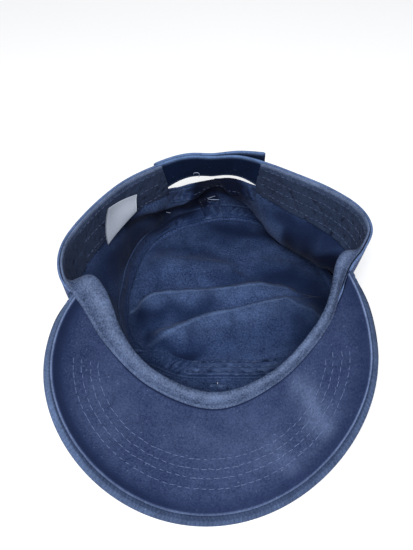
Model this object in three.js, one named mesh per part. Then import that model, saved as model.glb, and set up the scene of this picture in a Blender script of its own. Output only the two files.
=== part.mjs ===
// Army cap: a soft cotton cadet cap with a stiff curved visor, lying upside down on its flat top.
// The crown has slouched, so the visor's tip has come down to the surface as well.
// Millimetres. +Z is up, -Y is the cap's front, +X is to the right of somebody who looks at the front.
import * as THREE from "three";

// ---------------------------------------------------------------- driving dimensions
const CLOTH = 1.4; // crown cloth, with its seam allowances
const BAND_CLOTH = 1.2; // sweatband
const TAPE_CLOTH = 0.8; // seam tapes
const GAP = 0.4; // between two pieces that are sewn together
const PLACE = new THREE.Vector3(-5.9, -31.7, 0); // puts the origin under the middle of the cap's box

const visor = {
  middleX: 4.9,
  slope: THREE.MathUtils.degToRad(20), // falls towards its tip
  archRadius: 122, // bent across, sides up
  tip: { y: -98.9, z: 3.3 }, // visible face at the tip
  reach: 129.2, // tip to the line through the two corners
  innerHalfWidth: 79,
  innerDepth: 64.5,
  innerPower: 0.78, // rounder than a parabola, flatter than an ellipse
  outerHalfWidth: 90.9,
  outerCentre: 42.8, // where it is widest, from the line of the corners
  outerShift: -1.5, // sideways, the real edge isn't quite even
  behind: { right: 116, left: 94 }, // how fast it narrows towards each corner
  lean: -6.2, // further sideways drift at the tip
  underCloth: 1.0,
  board: 2.7, // stiffener and top cloth
  rolledEdge: { side: 3.2, tip: 5.4 }, // top cloth that shows beyond the under cloth
  lip: 0.9, // height of that rolled edge
  cornerWidth: 1.0, // of its pointed ends
  cornerReach: 4, // and their length
  cornerAngle: { right: 114, left: 116 }, // of the outer edge's ends, from the tip
};
const strap = {
  height: 25,
  thickness: 1.6,
  flare: 6, // the outer one's cut end stands off
  flareSharpness: 5, // how close to that end it does so
  endGap: 0.04, // of a section, clear of the walls' cut edges
  cutBack: 0.15, // of a section, the outer one's cut end
};
const sweatband = {
  height: 30,
  endGap: 0.03, // of a section, clear of the walls' cut edges
  foot: 1.6, // the fold over the visor starts this far outside the rim
  footLift: 1.1, // of its middle, above the visor
  crest: 6, // height of that fold
  shoulder: { reach: 0.45, height: 0.8 }, // shares of the fold's reach and height, on its way up
  rounding: 0.6, // the crest lies this far short of the fold's reach
  hemBack: 1.5, // and the free edge this far
  turn: 5, // it turns down again over this height
  hemDrop: 14, // free edge, below the rim
  leastHem: 6, // above the flat top
  hemLeastReach: 5.6, // of the hem, so that it clears the wall
};
const tape = {
  width: 13,
  frontStart: -14, // from the seam: on the flat top at the front, on the wall elsewhere
  wallStart: 2.6,
  frontUntil: 1.9, // places from the middle of the front
  wallFrom: 3.9,
  corner: 4, // rounded through the seam over this distance on each side
  overlapFrom: -0.95, // places among the sections, where its two ends lie on each other
  overlapTo: 1.35,
  overlapOuter: -13.5, // from the seam
  overlapInner: -2.5,
};
const frontStrip = { half: 0.2, low: 0.04, high: 0.34 }; // half width in sections, shares of the height
const arch = {
  binding: 10,
  bindingEdge: 0.3, // the binding stops this far below the cut
  bindingEnd: 0.12, // of a section, short of the cut-out's sides
};
const label = { thickness: 0.4, hang: 2.6 }; // hang: how far its lower edge stands off

// ---------------------------------------------------------------- visor surface
const visorDown = new THREE.Vector3(0, -Math.cos(visor.slope), -Math.sin(visor.slope));
const visorUp = new THREE.Vector3(0, -Math.sin(visor.slope), Math.cos(visor.slope));
const visorRoot = new THREE.Vector3(visor.middleX, visor.tip.y, visor.tip.z).addScaledVector(
  visorDown,
  -visor.reach,
);

// across: sideways from the middle. along: from the line of the corners towards the tip.
function visorPoint(across, along, lift = 0) {
  const bend = across / visor.archRadius;
  const normal = visorUp.clone().add(new THREE.Vector3(-bend, 0, 0)).normalize();
  return visorRoot
    .clone()
    .add(new THREE.Vector3(across, 0, 0))
    .addScaledVector(visorDown, along)
    .addScaledVector(visorUp, (across * bend) / 2)
    .addScaledVector(normal, lift);
}
function visorInner(across) {
  const share = 1 - (across / visor.innerHalfWidth) ** 2;
  return visor.innerDepth * Math.max(share, 0) ** visor.innerPower;
}
// Outer edge at an angle that is 0 at the tip and grows to the right, drawn in by inset.
function visorOuter(angle, inset = 0) {
  const behind = angle > 0 ? visor.behind.right : visor.behind.left;
  const depth = Math.cos(angle) > 0 ? visor.reach - visor.outerCentre : behind;
  const along = visor.outerCentre + (depth - inset) * Math.cos(angle);
  const drift = visor.outerShift + (visor.lean * along) / visor.reach;
  return { across: (visor.outerHalfWidth - inset) * Math.sin(angle) + drift, along };
}
function rolledWidth(angle) {
  const { side, tip } = visor.rolledEdge;
  return THREE.MathUtils.lerp(side, tip, Math.max(Math.cos(angle), 0) ** 1.5);
}

// ---------------------------------------------------------------- sections of the crown
// One row for each section, from the middle of the front round by the right.
// seamX, seamY: where the wall meets the flat top.
// foot, belly, neck: how far out the wall passes low down, half way up and under the rim.
// neckSide: how far the place under the rim is drawn sideways, by the straps' pull.
const sections = [
  { name: "front", seamX: 5, seamY: 1, foot: 26, belly: 34, neck: -1 },
  { name: "front_right", seamX: 38, seamY: 0, foot: 18, belly: 24, neck: -1 },
  { name: "front_right_turn", seamX: 61, seamY: 7, foot: 8, belly: 10, neck: -1 },
  { name: "corner_right", seamX: 75, seamY: 22, foot: 4, belly: 0, neck: -1 },
  { name: "temple_right", seamX: 82, seamY: 38, foot: 3, belly: -4, neck: -4 },
  { name: "side_right_fore", seamX: 86, seamY: 53, foot: 3, belly: -7, neck: -6 },
  { name: "side_right", seamX: 88, seamY: 70, foot: 3, belly: -9, neck: -6 },
  { name: "side_right_aft", seamX: 84, seamY: 90, foot: 4, belly: -11, neck: -6 },
  { name: "back_right_fold", seamX: 76, seamY: 108, foot: 3, belly: -11, neck: -4 },
  { name: "back_right_turn", seamX: 62, seamY: 126, foot: 2, belly: -10, neck: -1 },
  { name: "strap_right", seamX: 53, seamY: 138, foot: 3, belly: -2, neck: 7, neckSide: -5 },
  { name: "arch_right", seamX: 38, seamY: 151, foot: 4, belly: 10, neck: 12, neckSide: -3 },
  { name: "back", seamX: 16, seamY: 156, foot: 4, belly: 14, neck: 12.5 },
  { name: "arch_left", seamX: -5, seamY: 151, foot: 4, belly: 10, neck: 11, neckSide: 3 },
  { name: "strap_left", seamX: -25, seamY: 142, foot: 4, belly: 7, neck: 8, neckSide: 7 },
  { name: "back_left_turn", seamX: -40, seamY: 124, foot: 4, belly: 3, neck: 0 },
  { name: "side_left_aft", seamX: -48.5, seamY: 99, foot: 4, belly: 0, neck: -2 },
  { name: "side_left", seamX: -53, seamY: 70, foot: 4, belly: -1, neck: -4 },
  { name: "temple_left", seamX: -50, seamY: 45, foot: 5, belly: -3, neck: -5 },
  { name: "corner_left", seamX: -43.5, seamY: 24, foot: 7, belly: 2, neck: -3 },
  { name: "front_left_turn", seamX: -34, seamY: 11.5, foot: 11, belly: 12, neck: -1 },
  { name: "front_left", seamX: -17, seamY: 3, foot: 18, belly: 25, neck: -1 },
];
// The rim where it is sewn to the visor: places across it, and how far in it is drawn there.
const sewnRim = [
  { name: "corner_left", across: -76, drawnIn: 0 },
  { name: "front_left_turn", across: -62, drawnIn: 0 },
  { name: "front_left", across: -38, drawnIn: 0 },
  { name: "front", across: 0, drawnIn: 2.5 },
  { name: "front_right", across: 38, drawnIn: 6.2 },
  { name: "front_right_turn", across: 62, drawnIn: 4.8 },
  { name: "corner_right", across: 76, drawnIn: 4.4 },
];
// The rest of the rim.
const freeRim = [
  { name: "temple_right", x: 85.6, y: 24.6, z: 72.8 },
  { name: "side_right_fore", x: 95.8, y: 39, z: 73.6 },
  { name: "side_right", x: 103, y: 56, z: 75 },
  { name: "side_right_aft", x: 98.5, y: 75, z: 76.3 },
  { name: "back_right_fold", x: 82.5, y: 93.5, z: 77.6 },
  { name: "back_right_turn", x: 60.5, y: 110, z: 78.7 },
  { name: "strap_right", x: 42.7, y: 121.6, z: 79.5 },
  { name: "arch_right", x: 26, y: 129, z: 80 },
  { name: "back", x: 8, y: 129.4, z: 80 },
  { name: "arch_left", x: -10, y: 130.6, z: 80 },
  { name: "strap_left", x: -29.5, y: 122.4, z: 79.7 },
  { name: "back_left_turn", x: -53, y: 106, z: 78.5 },
  { name: "side_left_aft", x: -74, y: 79, z: 76.6 },
  { name: "side_left", x: -87, y: 51, z: 74.6 },
  { name: "temple_left", x: -85.5, y: 25, z: 72.8 },
];
const index = Object.fromEntries(sections.map((row, i) => [row.name, i]));

// Where the wall is sewn to the visor it stops just inside the visor's inner edge.
const upright = new THREE.Vector3(0, 0, 1);
const rimInset = CLOTH / 2 + GAP;
const rims = new Map(freeRim.map(({ name, x, y, z }) => [name, new THREE.Vector3(x, y, z)]));
for (const { name, across, drawnIn } of sewnRim) {
  rims.set(name, visorPoint(across - drawnIn, visorInner(across) - rimInset));
}
for (const row of sections) {
  const point = rims.get(row.name);
  Object.assign(row, { rimX: point.x, rimY: point.y, rimZ: point.z });
}

// Smooth value of a column at a place between sections. The row of sections closes on itself.
function column(key, place) {
  const n = sections.length;
  const i = Math.floor(place);
  const t = place - i;
  const at = (k) => sections[(((i + k) % n) + n) % n][key] ?? 0;
  const [a, b, c, d] = [at(-1), at(0), at(1), at(2)];
  const cubic = -a + 3 * b - 3 * c + d;
  const square = 2 * a - 5 * b + 4 * c - d;
  return 0.5 * (2 * b + (c - a) * t + square * t * t + cubic * t * t * t);
}
// Places from the middle of the front, to the right.
function fromFront(place) {
  const n = sections.length;
  return THREE.MathUtils.euclideanModulo(place + n / 2, n) - n / 2;
}
const rimAt = (place) =>
  new THREE.Vector3(column("rimX", place), column("rimY", place), column("rimZ", place));
const seamAt = (place, z = CLOTH / 2) =>
  new THREE.Vector3(column("seamX", place), column("seamY", place), z);

// Level direction out of the crown, square to a loop.
function outOf(loop, place) {
  const along = loop(place + 0.05).sub(loop(place - 0.05));
  return new THREE.Vector3(along.y, -along.x, 0).normalize();
}

// Middle of the wall's cloth. up: 0 at the top seam, 1 at the rim.
const wallHeights = { foot: 0.07, belly: 0.36, neck: 0.66 }; // of the rim's height
function wallPoint(place, up) {
  const out = outOf(seamAt, place);
  const rim = rimAt(place);
  const seam = seamAt(place).addScaledVector(out, CLOTH / 2 + GAP);
  const foot = seam.clone().addScaledVector(out, column("foot", place));
  foot.z = seam.z + wallHeights.foot * rim.z;
  const belly = seam.clone().lerp(rim, 0.5).addScaledVector(out, column("belly", place));
  belly.z = wallHeights.belly * rim.z;
  const neck = rim.clone().addScaledVector(outOf(rimAt, place), column("neck", place));
  neck.x += column("neckSide", place);
  neck.z = wallHeights.neck * rim.z;
  return new THREE.CatmullRomCurve3([seam, foot, belly, neck, rim]).getPoint(up);
}
function wallNormal(place, up) {
  const around = wallPoint(place + 0.02, up).sub(wallPoint(place - 0.02, up));
  const higher = wallPoint(place, Math.min(up + 0.01, 1));
  const rise = higher.sub(wallPoint(place, Math.max(up - 0.01, 0)));
  return around.cross(rise).normalize();
}
// Share of the wall's height that lies a distance below the rim.
function upBelowRim(place, distance) {
  const steps = 40;
  let travelled = 0;
  let last = wallPoint(place, 1);
  for (let k = steps - 1; k >= 0; k--) {
    const point = wallPoint(place, k / steps);
    const step = point.distanceTo(last);
    if (travelled + step >= distance) return (k + 1 - (distance - travelled) / step) / steps;
    travelled += step;
    last = point;
  }
  return 0;
}
// The same from the top seam upwards.
function upAboveSeam(place, distance) {
  const steps = 60;
  let travelled = 0;
  let last = wallPoint(place, 0);
  for (let k = 1; k <= steps; k++) {
    const point = wallPoint(place, k / steps);
    const step = point.distanceTo(last);
    if (travelled + step >= distance) return (k - 1 + (distance - travelled) / step) / steps;
    travelled += step;
    last = point;
  }
  return 1;
}

// ---------------------------------------------------------------- curves along the rim
// How far the sweatband's fold reaches in over the visor. place: sections from the middle of the front.
const foldReach = [
  { place: -5, value: 10 },
  { place: -4.4, value: 12.5 },
  { place: -3.8, value: 16.5 },
  { place: -3.3, value: 16 },
  { place: -2.8, value: 14.5 },
  { place: -2.2, value: 11.8 },
  { place: -1.6, value: 8.2 },
  { place: -0.8, value: 6.7 },
  { place: 0, value: 6.6 },
  { place: 1, value: 4.4 },
  { place: 2, value: 4.5 },
  { place: 2.6, value: 4.6 },
  { place: 3.2, value: 4.6 },
  { place: 3.7, value: 6.1 },
  { place: 4.3, value: 5.5 },
  { place: 5, value: 4.5 },
];
// Cut edge of the arch: depth below the rim at places between the straps' ends.
const archEdge = [
  { place: 10, value: 26 },
  { place: 10.6, value: 29.5 },
  { place: 11.3, value: 30 },
  { place: 12, value: 32.5 },
  { place: 12.6, value: 36.5 },
  { place: 13.3, value: 36.5 },
  { place: 14, value: 28 },
];
// Smooth curve through the rows of such a table.
function along(table, place) {
  const last = table.length - 1;
  const at = THREE.MathUtils.clamp(place, table[0].place, table[last].place);
  const k = Math.max(0, table.findIndex((row, i) => i === last - 1 || at < table[i + 1].place));
  const slope = (i) => {
    const low = table[Math.max(i - 1, 0)];
    const high = table[Math.min(i + 1, last)];
    return (high.value - low.value) / (high.place - low.place);
  };
  const width = table[k + 1].place - table[k].place;
  const t = (at - table[k].place) / width;
  const rise = THREE.MathUtils.lerp(table[k].value, table[k + 1].value, t * t * (3 - 2 * t));
  return rise + width * t * (1 - t) * ((1 - t) * slope(k) - t * slope(k + 1));
}

// ---------------------------------------------------------------- flat top and its folds
// One row for each fold: a ridge from one end to the other, with a height and its half-widths
// towards the front and towards the back.
const folds = [
  { name: "upper_left", fromX: -52, fromY: 62, toX: -35, toY: 71, height: 8, front: 15, back: 7 },
  { name: "upper_ridge", fromX: -35, fromY: 71, toX: 37, toY: 77, height: 8, front: 15, back: 7 },
  { name: "lower_left", fromX: -38, fromY: 32, toX: -5, toY: 45, height: 9.5, front: 18, back: 7 },
  { name: "lower_ridge", fromX: -5, fromY: 45, toX: 54, toY: 62, height: 9.5, front: 18, back: 7 },
  { name: "lower_end", fromX: 54, fromY: 62, toX: 80, toY: 43, height: 8.5, front: 15, back: 9 },
  { name: "front_crease", fromX: -10, fromY: 6, toX: -3, toY: 44, height: 3, front: 11, back: 5 },
  { name: "back_swell", fromX: -40, fromY: 111, toX: 14, toY: 98, height: 4.5, front: 17, back: 10 },
];
const foldFoot = 0.2; // below this height the top stays truly flat
const topMiddle = new THREE.Vector3(17, 76, 0);
const edgeEase = 14; // the folds die out over this distance from the seam or the tape on it

function foldHeight(x, y) {
  let height = 0;
  for (const fold of folds) {
    const dx = fold.toX - fold.fromX;
    const dy = fold.toY - fold.fromY;
    const length2 = dx * dx + dy * dy;
    const share = ((x - fold.fromX) * dx + (y - fold.fromY) * dy) / length2;
    const near = THREE.MathUtils.clamp(share, 0, 1);
    const side = ((x - fold.fromX) * dy - (y - fold.fromY) * dx) / Math.sqrt(length2);
    const width = THREE.MathUtils.lerp(fold.back, fold.front, THREE.MathUtils.smoothstep(side, -3, 3));
    const away = Math.hypot(x - fold.fromX - near * dx, y - fold.fromY - near * dy) / width;
    height = Math.max(height, fold.height * Math.exp(-away * away));
  }
  return Math.max(height - foldFoot, 0);
}
// Middle of the top's cloth. around: a place among the sections. reach: 0 at its middle, 1 at the seam.
function topPoint(around, reach) {
  const edge = seamAt(around);
  const point = topMiddle.clone().lerp(edge, reach);
  const fromEdge = (1 - reach) * Math.hypot(edge.x - topMiddle.x, edge.y - topMiddle.y);
  const taped = Math.max(0, tape.corner - tapeStart(around));
  const ease = THREE.MathUtils.smoothstep(fromEdge, taped, taped + edgeEase);
  point.z = CLOTH / 2 + ease * foldHeight(point.x, point.y);
  return point;
}

// ---------------------------------------------------------------- closed sheets
// grid[i][j] = { point, normal, above, below }: a sheet that reaches above and below its middle.
// keep(i, j) says which cells the sheet has. closed joins the last column to the first.
function sheet(grid, { closed = false, keep = () => true } = {}) {
  const columns = grid.length;
  const rows = grid[0].length;
  const positions = [];
  for (const side of ["above", "below"]) {
    for (const line of grid) {
      for (const knot of line) {
        const shift = side === "above" ? knot.above : -knot.below;
        positions.push(...knot.point.clone().addScaledVector(knot.normal, shift).toArray());
      }
    }
  }
  const under = columns * rows;
  const faces = [];
  const edges = new Map();
  for (let i = 0; i < (closed ? columns : columns - 1); i++) {
    for (let j = 0; j < rows - 1; j++) {
      if (!keep(i, j)) continue;
      const next = (i + 1) % columns;
      const cell = [i * rows + j, next * rows + j, next * rows + j + 1, i * rows + j + 1];
      const [a, b, c, d] = cell;
      faces.push(a, b, c, a, c, d);
      faces.push(under + c, under + b, under + a, under + d, under + c, under + a);
      cell.forEach((from, k) => edges.set(`${from},${cell[(k + 1) % 4]}`, [from, cell[(k + 1) % 4]]));
    }
  }
  for (const [from, to] of edges.values()) {
    if (edges.has(`${to},${from}`)) continue;
    faces.push(to, from, under + from, to, under + from, under + to);
  }
  const geometry = new THREE.BufferGeometry();
  geometry.setAttribute("position", new THREE.Float32BufferAttribute(positions, 3));
  geometry.setIndex(faces);
  geometry.computeVertexNormals();
  return geometry;
}
// A sheet from a function of two shares, with the normals worked out from the grid.
function sheetFrom(columns, rows, pointAt, thickness, options = {}) {
  const points = [];
  for (let i = 0; i < columns; i++) {
    points.push(Array.from({ length: rows }, (_, j) => pointAt(i, j)));
  }
  const clamped = (i) => THREE.MathUtils.clamp(i, 0, columns - 1);
  const wrap = (i) => (options.closed ? (i + columns) % columns : clamped(i));
  const grid = points.map((line, i) =>
    line.map((point, j) => {
      const across = points[wrap(i + 1)][j].clone().sub(points[wrap(i - 1)][j]);
      const along = line[Math.min(j + 1, rows - 1)].clone().sub(line[Math.max(j - 1, 0)]);
      const normal = across.cross(along).normalize();
      return { point, normal, above: thickness / 2, below: thickness / 2 };
    }),
  );
  return sheet(grid, options);
}
const share = (i, count) => i / (count - 1);

// ---------------------------------------------------------------- pieces
// Flat top: a square grid spread over the oval.
function crownTop() {
  const count = 25;
  const corner = sections.length / 8;
  return sheetFrom(
    count,
    count,
    (i, j) => {
      const a = 2 * share(i, count) - 1;
      const b = 2 * share(j, count) - 1;
      const reach = Math.max(Math.abs(a), Math.abs(b));
      if (reach === 0) return topPoint(0, 0);
      // The place runs from the front (b = -1) round by the right, in step with the grid's own edge.
      let turn;
      if (b === -reach) turn = a / reach;
      else if (a === reach) turn = 2 + b / reach;
      else if (b === reach) turn = 4 - a / reach;
      else turn = 6 - b / reach;
      return topPoint(turn * corner, reach);
    },
    CLOTH,
  );
}

// The arch's cut edge, below the rim.
const archDepth = (place) => along(archEdge, place);
// Half of the wall between two places, with the arch left out.
function wallHalf(from, to) {
  const columnsPerSection = 4;
  const columns = columnsPerSection * (to - from) + 1;
  const lowShares = [0, 0.12, 0.24, 0.38, 0.56, 0.77, 1]; // rows below the arch, closer at the foot
  const low = lowShares.length - 1;
  const high = 4; // rows of cells beside the arch
  const seamGap = 0.02; // of a section, where the halves meet
  const places = Array.from({ length: columns }, (_, i) =>
    THREE.MathUtils.lerp(from + seamGap, to - seamGap, share(i, columns)),
  );
  const inArch = (place) => place > index.strap_right && place < index.strap_left;
  return sheetFrom(
    columns,
    low + high + 1,
    (i, j) => {
      const split = upBelowRim(places[i], archDepth(places[i]));
      const up = j <= low ? split * lowShares[j] : split + ((1 - split) * (j - low)) / high;
      return wallPoint(places[i], up);
    },
    CLOTH,
    { keep: (i, j) => j < low || !inArch((places[i] + places[i + 1]) / 2) },
  );
}

// A strip on the inside of the wall.
function wallLining(columns, rows, placeAt, upAt, thickness, reach = 0) {
  const inset = CLOTH / 2 + GAP + thickness / 2 + reach;
  return sheetFrom(
    columns,
    rows,
    (i, j) => {
      const place = placeAt(share(i, columns));
      const up = upAt(place, share(j, rows));
      return wallPoint(place, up).addScaledVector(wallNormal(place, up), -inset);
    },
    thickness,
  );
}

// Tape over the top seam. It lies on the wall, but at the front on the flat top.
function tapePoint(place, distance) {
  const lift = CLOTH / 2 + 2 * GAP + TAPE_CLOTH / 2;
  if (distance >= 0) {
    const up = upAboveSeam(place, distance);
    return wallPoint(place, up).addScaledVector(wallNormal(place, up), -lift);
  }
  const edge = seamAt(place);
  const radius = Math.hypot(edge.x - topMiddle.x, edge.y - topMiddle.y);
  const point = topPoint(place, 1 + distance / radius);
  point.z += lift;
  return point;
}
function tapeStart(place) {
  const onWall = THREE.MathUtils.smoothstep(Math.abs(fromFront(place)), tape.frontUntil, tape.wallFrom);
  return THREE.MathUtils.lerp(tape.frontStart, tape.wallStart, onWall);
}
function seamTape() {
  const columns = 66;
  const rows = 4;
  return sheetFrom(
    columns,
    rows,
    (i, j) => {
      const place = (i / columns) * sections.length;
      const distance = tapeStart(place) + tape.width * share(j, rows);
      return cornered(place, distance);
    },
    TAPE_CLOTH,
    { closed: true },
  );
}
// Where the tape's two ends lie on each other, at the front: the upper end.
function frontTape() {
  const columns = 17;
  const rows = 3;
  return sheetFrom(
    columns,
    rows,
    (i, j) => {
      const place = THREE.MathUtils.lerp(tape.overlapFrom, tape.overlapTo, share(i, columns));
      const distance = THREE.MathUtils.lerp(tape.overlapOuter, tape.overlapInner, share(j, rows));
      const point = tapePoint(place, distance);
      point.z += TAPE_CLOTH + GAP;
      return point;
    },
    TAPE_CLOTH,
  );
}
// Rounds the tape through the corner between the flat top and the wall.
function cornered(place, distance) {
  const reach = tape.corner;
  if (Math.abs(distance) >= reach) return tapePoint(place, distance);
  const t = (distance + reach) / (2 * reach);
  return tapePoint(place, -reach).lerp(tapePoint(place, reach), t);
}

// Sweatband: hangs inside the wall, and over the visor it rolls up and inwards first.
const bandInset = CLOTH / 2 + 1.5 * GAP + BAND_CLOTH / 2;
const onEachSide = (right, left) => ({ right, left });
// Places from the middle of the front over which the fold dies out, and its foot leaves the visor.
const rollFrom = onEachSide(index.corner_right + 0.9, sections.length - index.corner_left + 0.1);
const rollTo = onEachSide(index.side_right - 0.1, sections.length - index.temple_left + 0.3);
const footFrom = onEachSide(index.corner_right - 0.6, sections.length - index.corner_left + 0.2);
const footTo = onEachSide(index.corner_right + 0.4, sections.length - index.temple_left + 0.3);
function fading(place, from, to) {
  const aside = fromFront(place);
  const right = 1 - THREE.MathUtils.smoothstep(aside, from.right, to.right);
  const left = 1 - THREE.MathUtils.smoothstep(-aside, from.left, to.left);
  return Math.min(right, left);
}
function bandPoint(place, down) {
  const up = upBelowRim(place, down * sweatband.height);
  const hung = wallPoint(place, up).addScaledVector(wallNormal(place, up), -bandInset);
  const roll = fading(place, rollFrom, rollTo);
  if (roll === 0) return hung;
  const inward = outOf(rimAt, place).negate();
  const outside = rimAt(place).addScaledVector(inward, -sweatband.foot);
  const across = outside.x - visor.middleX;
  const onVisor = visorPoint(across, outside.clone().sub(visorRoot).dot(visorDown), sweatband.footLift);
  const foot = rimAt(place).addScaledVector(inward, bandInset);
  foot.lerp(onVisor, fading(place, footFrom, footTo));
  const reach = along(foldReach, fromFront(place));
  const knot = (lean, rise) => foot.clone().addScaledVector(inward, lean).setZ(foot.z + rise);
  const knots = [
    foot,
    knot(sweatband.shoulder.reach * reach, sweatband.shoulder.height * sweatband.crest),
    knot(reach - sweatband.rounding, sweatband.crest),
    knot(reach, sweatband.crest - sweatband.turn),
    knot(Math.max(reach - sweatband.hemBack, sweatband.hemLeastReach), 0),
  ];
  knots[4].z = Math.max(foot.z - sweatband.hemDrop, sweatband.leastHem);
  return hung.lerp(new THREE.CatmullRomCurve3(knots).getPoint(down), roll);
}
function sweatbandSheet() {
  const columns = 64;
  const rows = 6;
  const from = index.strap_left - sections.length + sweatband.endGap;
  const to = index.strap_right - sweatband.endGap;
  return sheetFrom(
    columns,
    rows,
    (i, j) => bandPoint(THREE.MathUtils.lerp(from, to, share(i, columns)), 1 - share(j, rows)),
    BAND_CLOTH,
  );
}

// Visor: two layers on one curved surface. The lower one rolls round the edge as a lip.
function visorLayer({ insetAt, pastCorner }, layersAt) {
  const columns = 35;
  const from = index.corner_right + pastCorner.right;
  const to = index.corner_left - sections.length - pastCorner.left;
  const { right, left } = visor.cornerAngle;
  const grid = [];
  for (let i = 0; i < columns; i++) {
    const s = share(i, columns);
    const place = THREE.MathUtils.lerp(from, to, s);
    const rim = rimAt(place).addScaledVector(outOf(rimAt, place), rimInset).sub(visorRoot);
    const inner = { across: rim.x, along: rim.dot(visorDown) };
    const angle = THREE.MathUtils.degToRad(THREE.MathUtils.lerp(right, -left, s));
    const outer = visorOuter(angle, insetAt(angle));
    const least = Math.abs(inner.across) + visor.cornerWidth;
    if (outer.along < inner.along + visor.cornerReach) {
      outer.across = Math.sign(inner.across) * Math.max(Math.abs(outer.across), least);
    }
    grid.push(
      layersAt.map(({ reach, above, below }) => {
        const across = THREE.MathUtils.lerp(inner.across, outer.across, reach);
        const along = THREE.MathUtils.lerp(inner.along, outer.along, reach);
        const point = visorPoint(across, along);
        // Its inner edge is upright, like the wall that it is sewn to.
        const normal = reach === 0 ? upright : visorPoint(across, along, 1).sub(point);
        return { point, normal, above, below };
      }),
    );
  }
  return sheet(grid);
}
function visorUnder() {
  const layer = { above: 0, below: visor.underCloth };
  const rows = [0, 0.2, 0.4, 0.6, 0.8, 1].map((reach) => ({ reach, ...layer }));
  return visorLayer({ insetAt: rolledWidth, pastCorner: { right: 0.48, left: 0.3 } }, rows);
}
function visorTop() {
  const flat = -(visor.underCloth + GAP);
  const below = visor.board - flat;
  const rows = [
    { reach: 0, above: flat, below },
    { reach: 0.25, above: flat, below },
    { reach: 0.5, above: flat, below },
    { reach: 0.75, above: flat, below },
    { reach: 0.92, above: flat, below }, // the lip rises from here
    { reach: 0.95, above: flat + visor.lip, below },
    { reach: 0.985, above: flat + visor.lip, below },
    { reach: 1, above: flat + visor.lip * 0.4, below: below - visor.board * 0.35 }, // rounded edge
  ];
  return visorLayer({ insetAt: () => 0, pastCorner: { right: 0.6, left: 0.4 } }, rows);
}

// Straps: they bridge the arch on the wall's own surface, the outer one behind the inner one.
function strapSheet(from, to, outAt) {
  const columns = 17;
  const rows = 3;
  return sheetFrom(
    columns,
    rows,
    (i, j) => {
      const place = THREE.MathUtils.lerp(from, to, share(i, columns));
      const up = upBelowRim(place, strap.height * (1 - share(j, rows)));
      return wallPoint(place, up).addScaledVector(wallNormal(place, up), outAt(share(i, columns)));
    },
    strap.thickness,
  );
}
function strapInner() {
  return strapSheet(index.strap_right + strap.endGap, index.strap_left - strap.endGap, () => 0);
}
function strapOuter() {
  const behind = strap.thickness + GAP;
  const outAt = (s) => behind + strap.flare * (1 - s) ** strap.flareSharpness;
  return strapSheet(index.strap_right + strap.cutBack, index.strap_left - strap.endGap, outAt);
}

// Care label: a blank slip on the left of the sweatband.
// One row for each corner of the label: its place and its distance below the rim.
const labelCorners = {
  highAft: { place: 14.71, below: 13 },
  highFore: { place: 15.51, below: 8 },
  lowAft: { place: 14.83, below: 24 },
  lowFore: { place: 15.84, below: 31.5 },
};
function careLabel() {
  const columns = 7;
  const rows = 5;
  const { highAft, highFore, lowAft, lowFore } = labelCorners;
  const inset = bandInset + BAND_CLOTH / 2 + GAP + label.thickness / 2;
  return sheetFrom(
    columns,
    rows,
    (i, j) => {
      const s = share(i, columns);
      const t = share(j, rows);
      const [place, below] = ["place", "below"].map((key) => {
        const low = THREE.MathUtils.lerp(lowAft[key], lowFore[key], s);
        return THREE.MathUtils.lerp(low, THREE.MathUtils.lerp(highAft[key], highFore[key], s), t);
      });
      const up = upBelowRim(place, below);
      const off = inset + label.hang * THREE.MathUtils.smoothstep(1 - t, 0.1, 1);
      return wallPoint(place, up).addScaledVector(wallNormal(place, up), -off);
    },
    label.thickness,
  );
}
// Strip over the centre-front seam.
function frontSeamStrip() {
  return wallLining(
    5,
    7,
    (s) => THREE.MathUtils.lerp(-frontStrip.half, frontStrip.half, s),
    (place, s) => THREE.MathUtils.lerp(frontStrip.low, frontStrip.high, s),
    TAPE_CLOTH,
  );
}
// Binding along the arch's cut edge.
function archBinding() {
  const from = index.strap_right + arch.bindingEnd;
  const to = index.strap_left - arch.bindingEnd;
  return wallLining(
    25,
    3,
    (s) => THREE.MathUtils.lerp(from, to, s),
    (place, s) => upBelowRim(place, archDepth(place) + arch.bindingEdge + arch.binding * (1 - s)),
    TAPE_CLOTH,
    GAP,
  );
}

// ---------------------------------------------------------------- the cap
const cloth = (color, roughness) => new THREE.MeshStandardMaterial({ color, roughness, metalness: 0 });
const navy = cloth(0x37446b, 0.9);
const faded = cloth(0x4d5d80, 0.92);
const dark = cloth(0x1d2a45, 0.85);
const white = cloth(0xd9dce2, 0.7);

const pieces = [
  ["crown_top", crownTop(), navy],
  ["wall_right", wallHalf(0, index.back), navy],
  ["wall_left", wallHalf(index.back, sections.length), navy],
  ["seam_tape", seamTape(), navy],
  ["front_tape", frontTape(), navy],
  ["front_seam_strip", frontSeamStrip(), navy],
  ["arch_binding", archBinding(), navy],
  ["sweatband", sweatbandSheet(), faded],
  ["visor_top", visorTop(), navy],
  ["visor_under", visorUnder(), navy],
  ["strap_inner", strapInner(), dark],
  ["strap_outer", strapOuter(), dark],
  ["care_label", careLabel(), white],
];

const cap = new THREE.Group();
cap.position.copy(PLACE);
for (const [name, geometry, material] of pieces) {
  const mesh = new THREE.Mesh(geometry, material);
  mesh.name = name;
  cap.add(mesh);
}
export default cap;
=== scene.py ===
"""Army cap lying upside down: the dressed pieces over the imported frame.

Lengths are in millimetres until a mesh is made, on the same surfaces as the part's own source.
"""
import math
from types import SimpleNamespace as Sizes

import bpy
import numpy as np
from mathutils import Matrix, Vector


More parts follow.
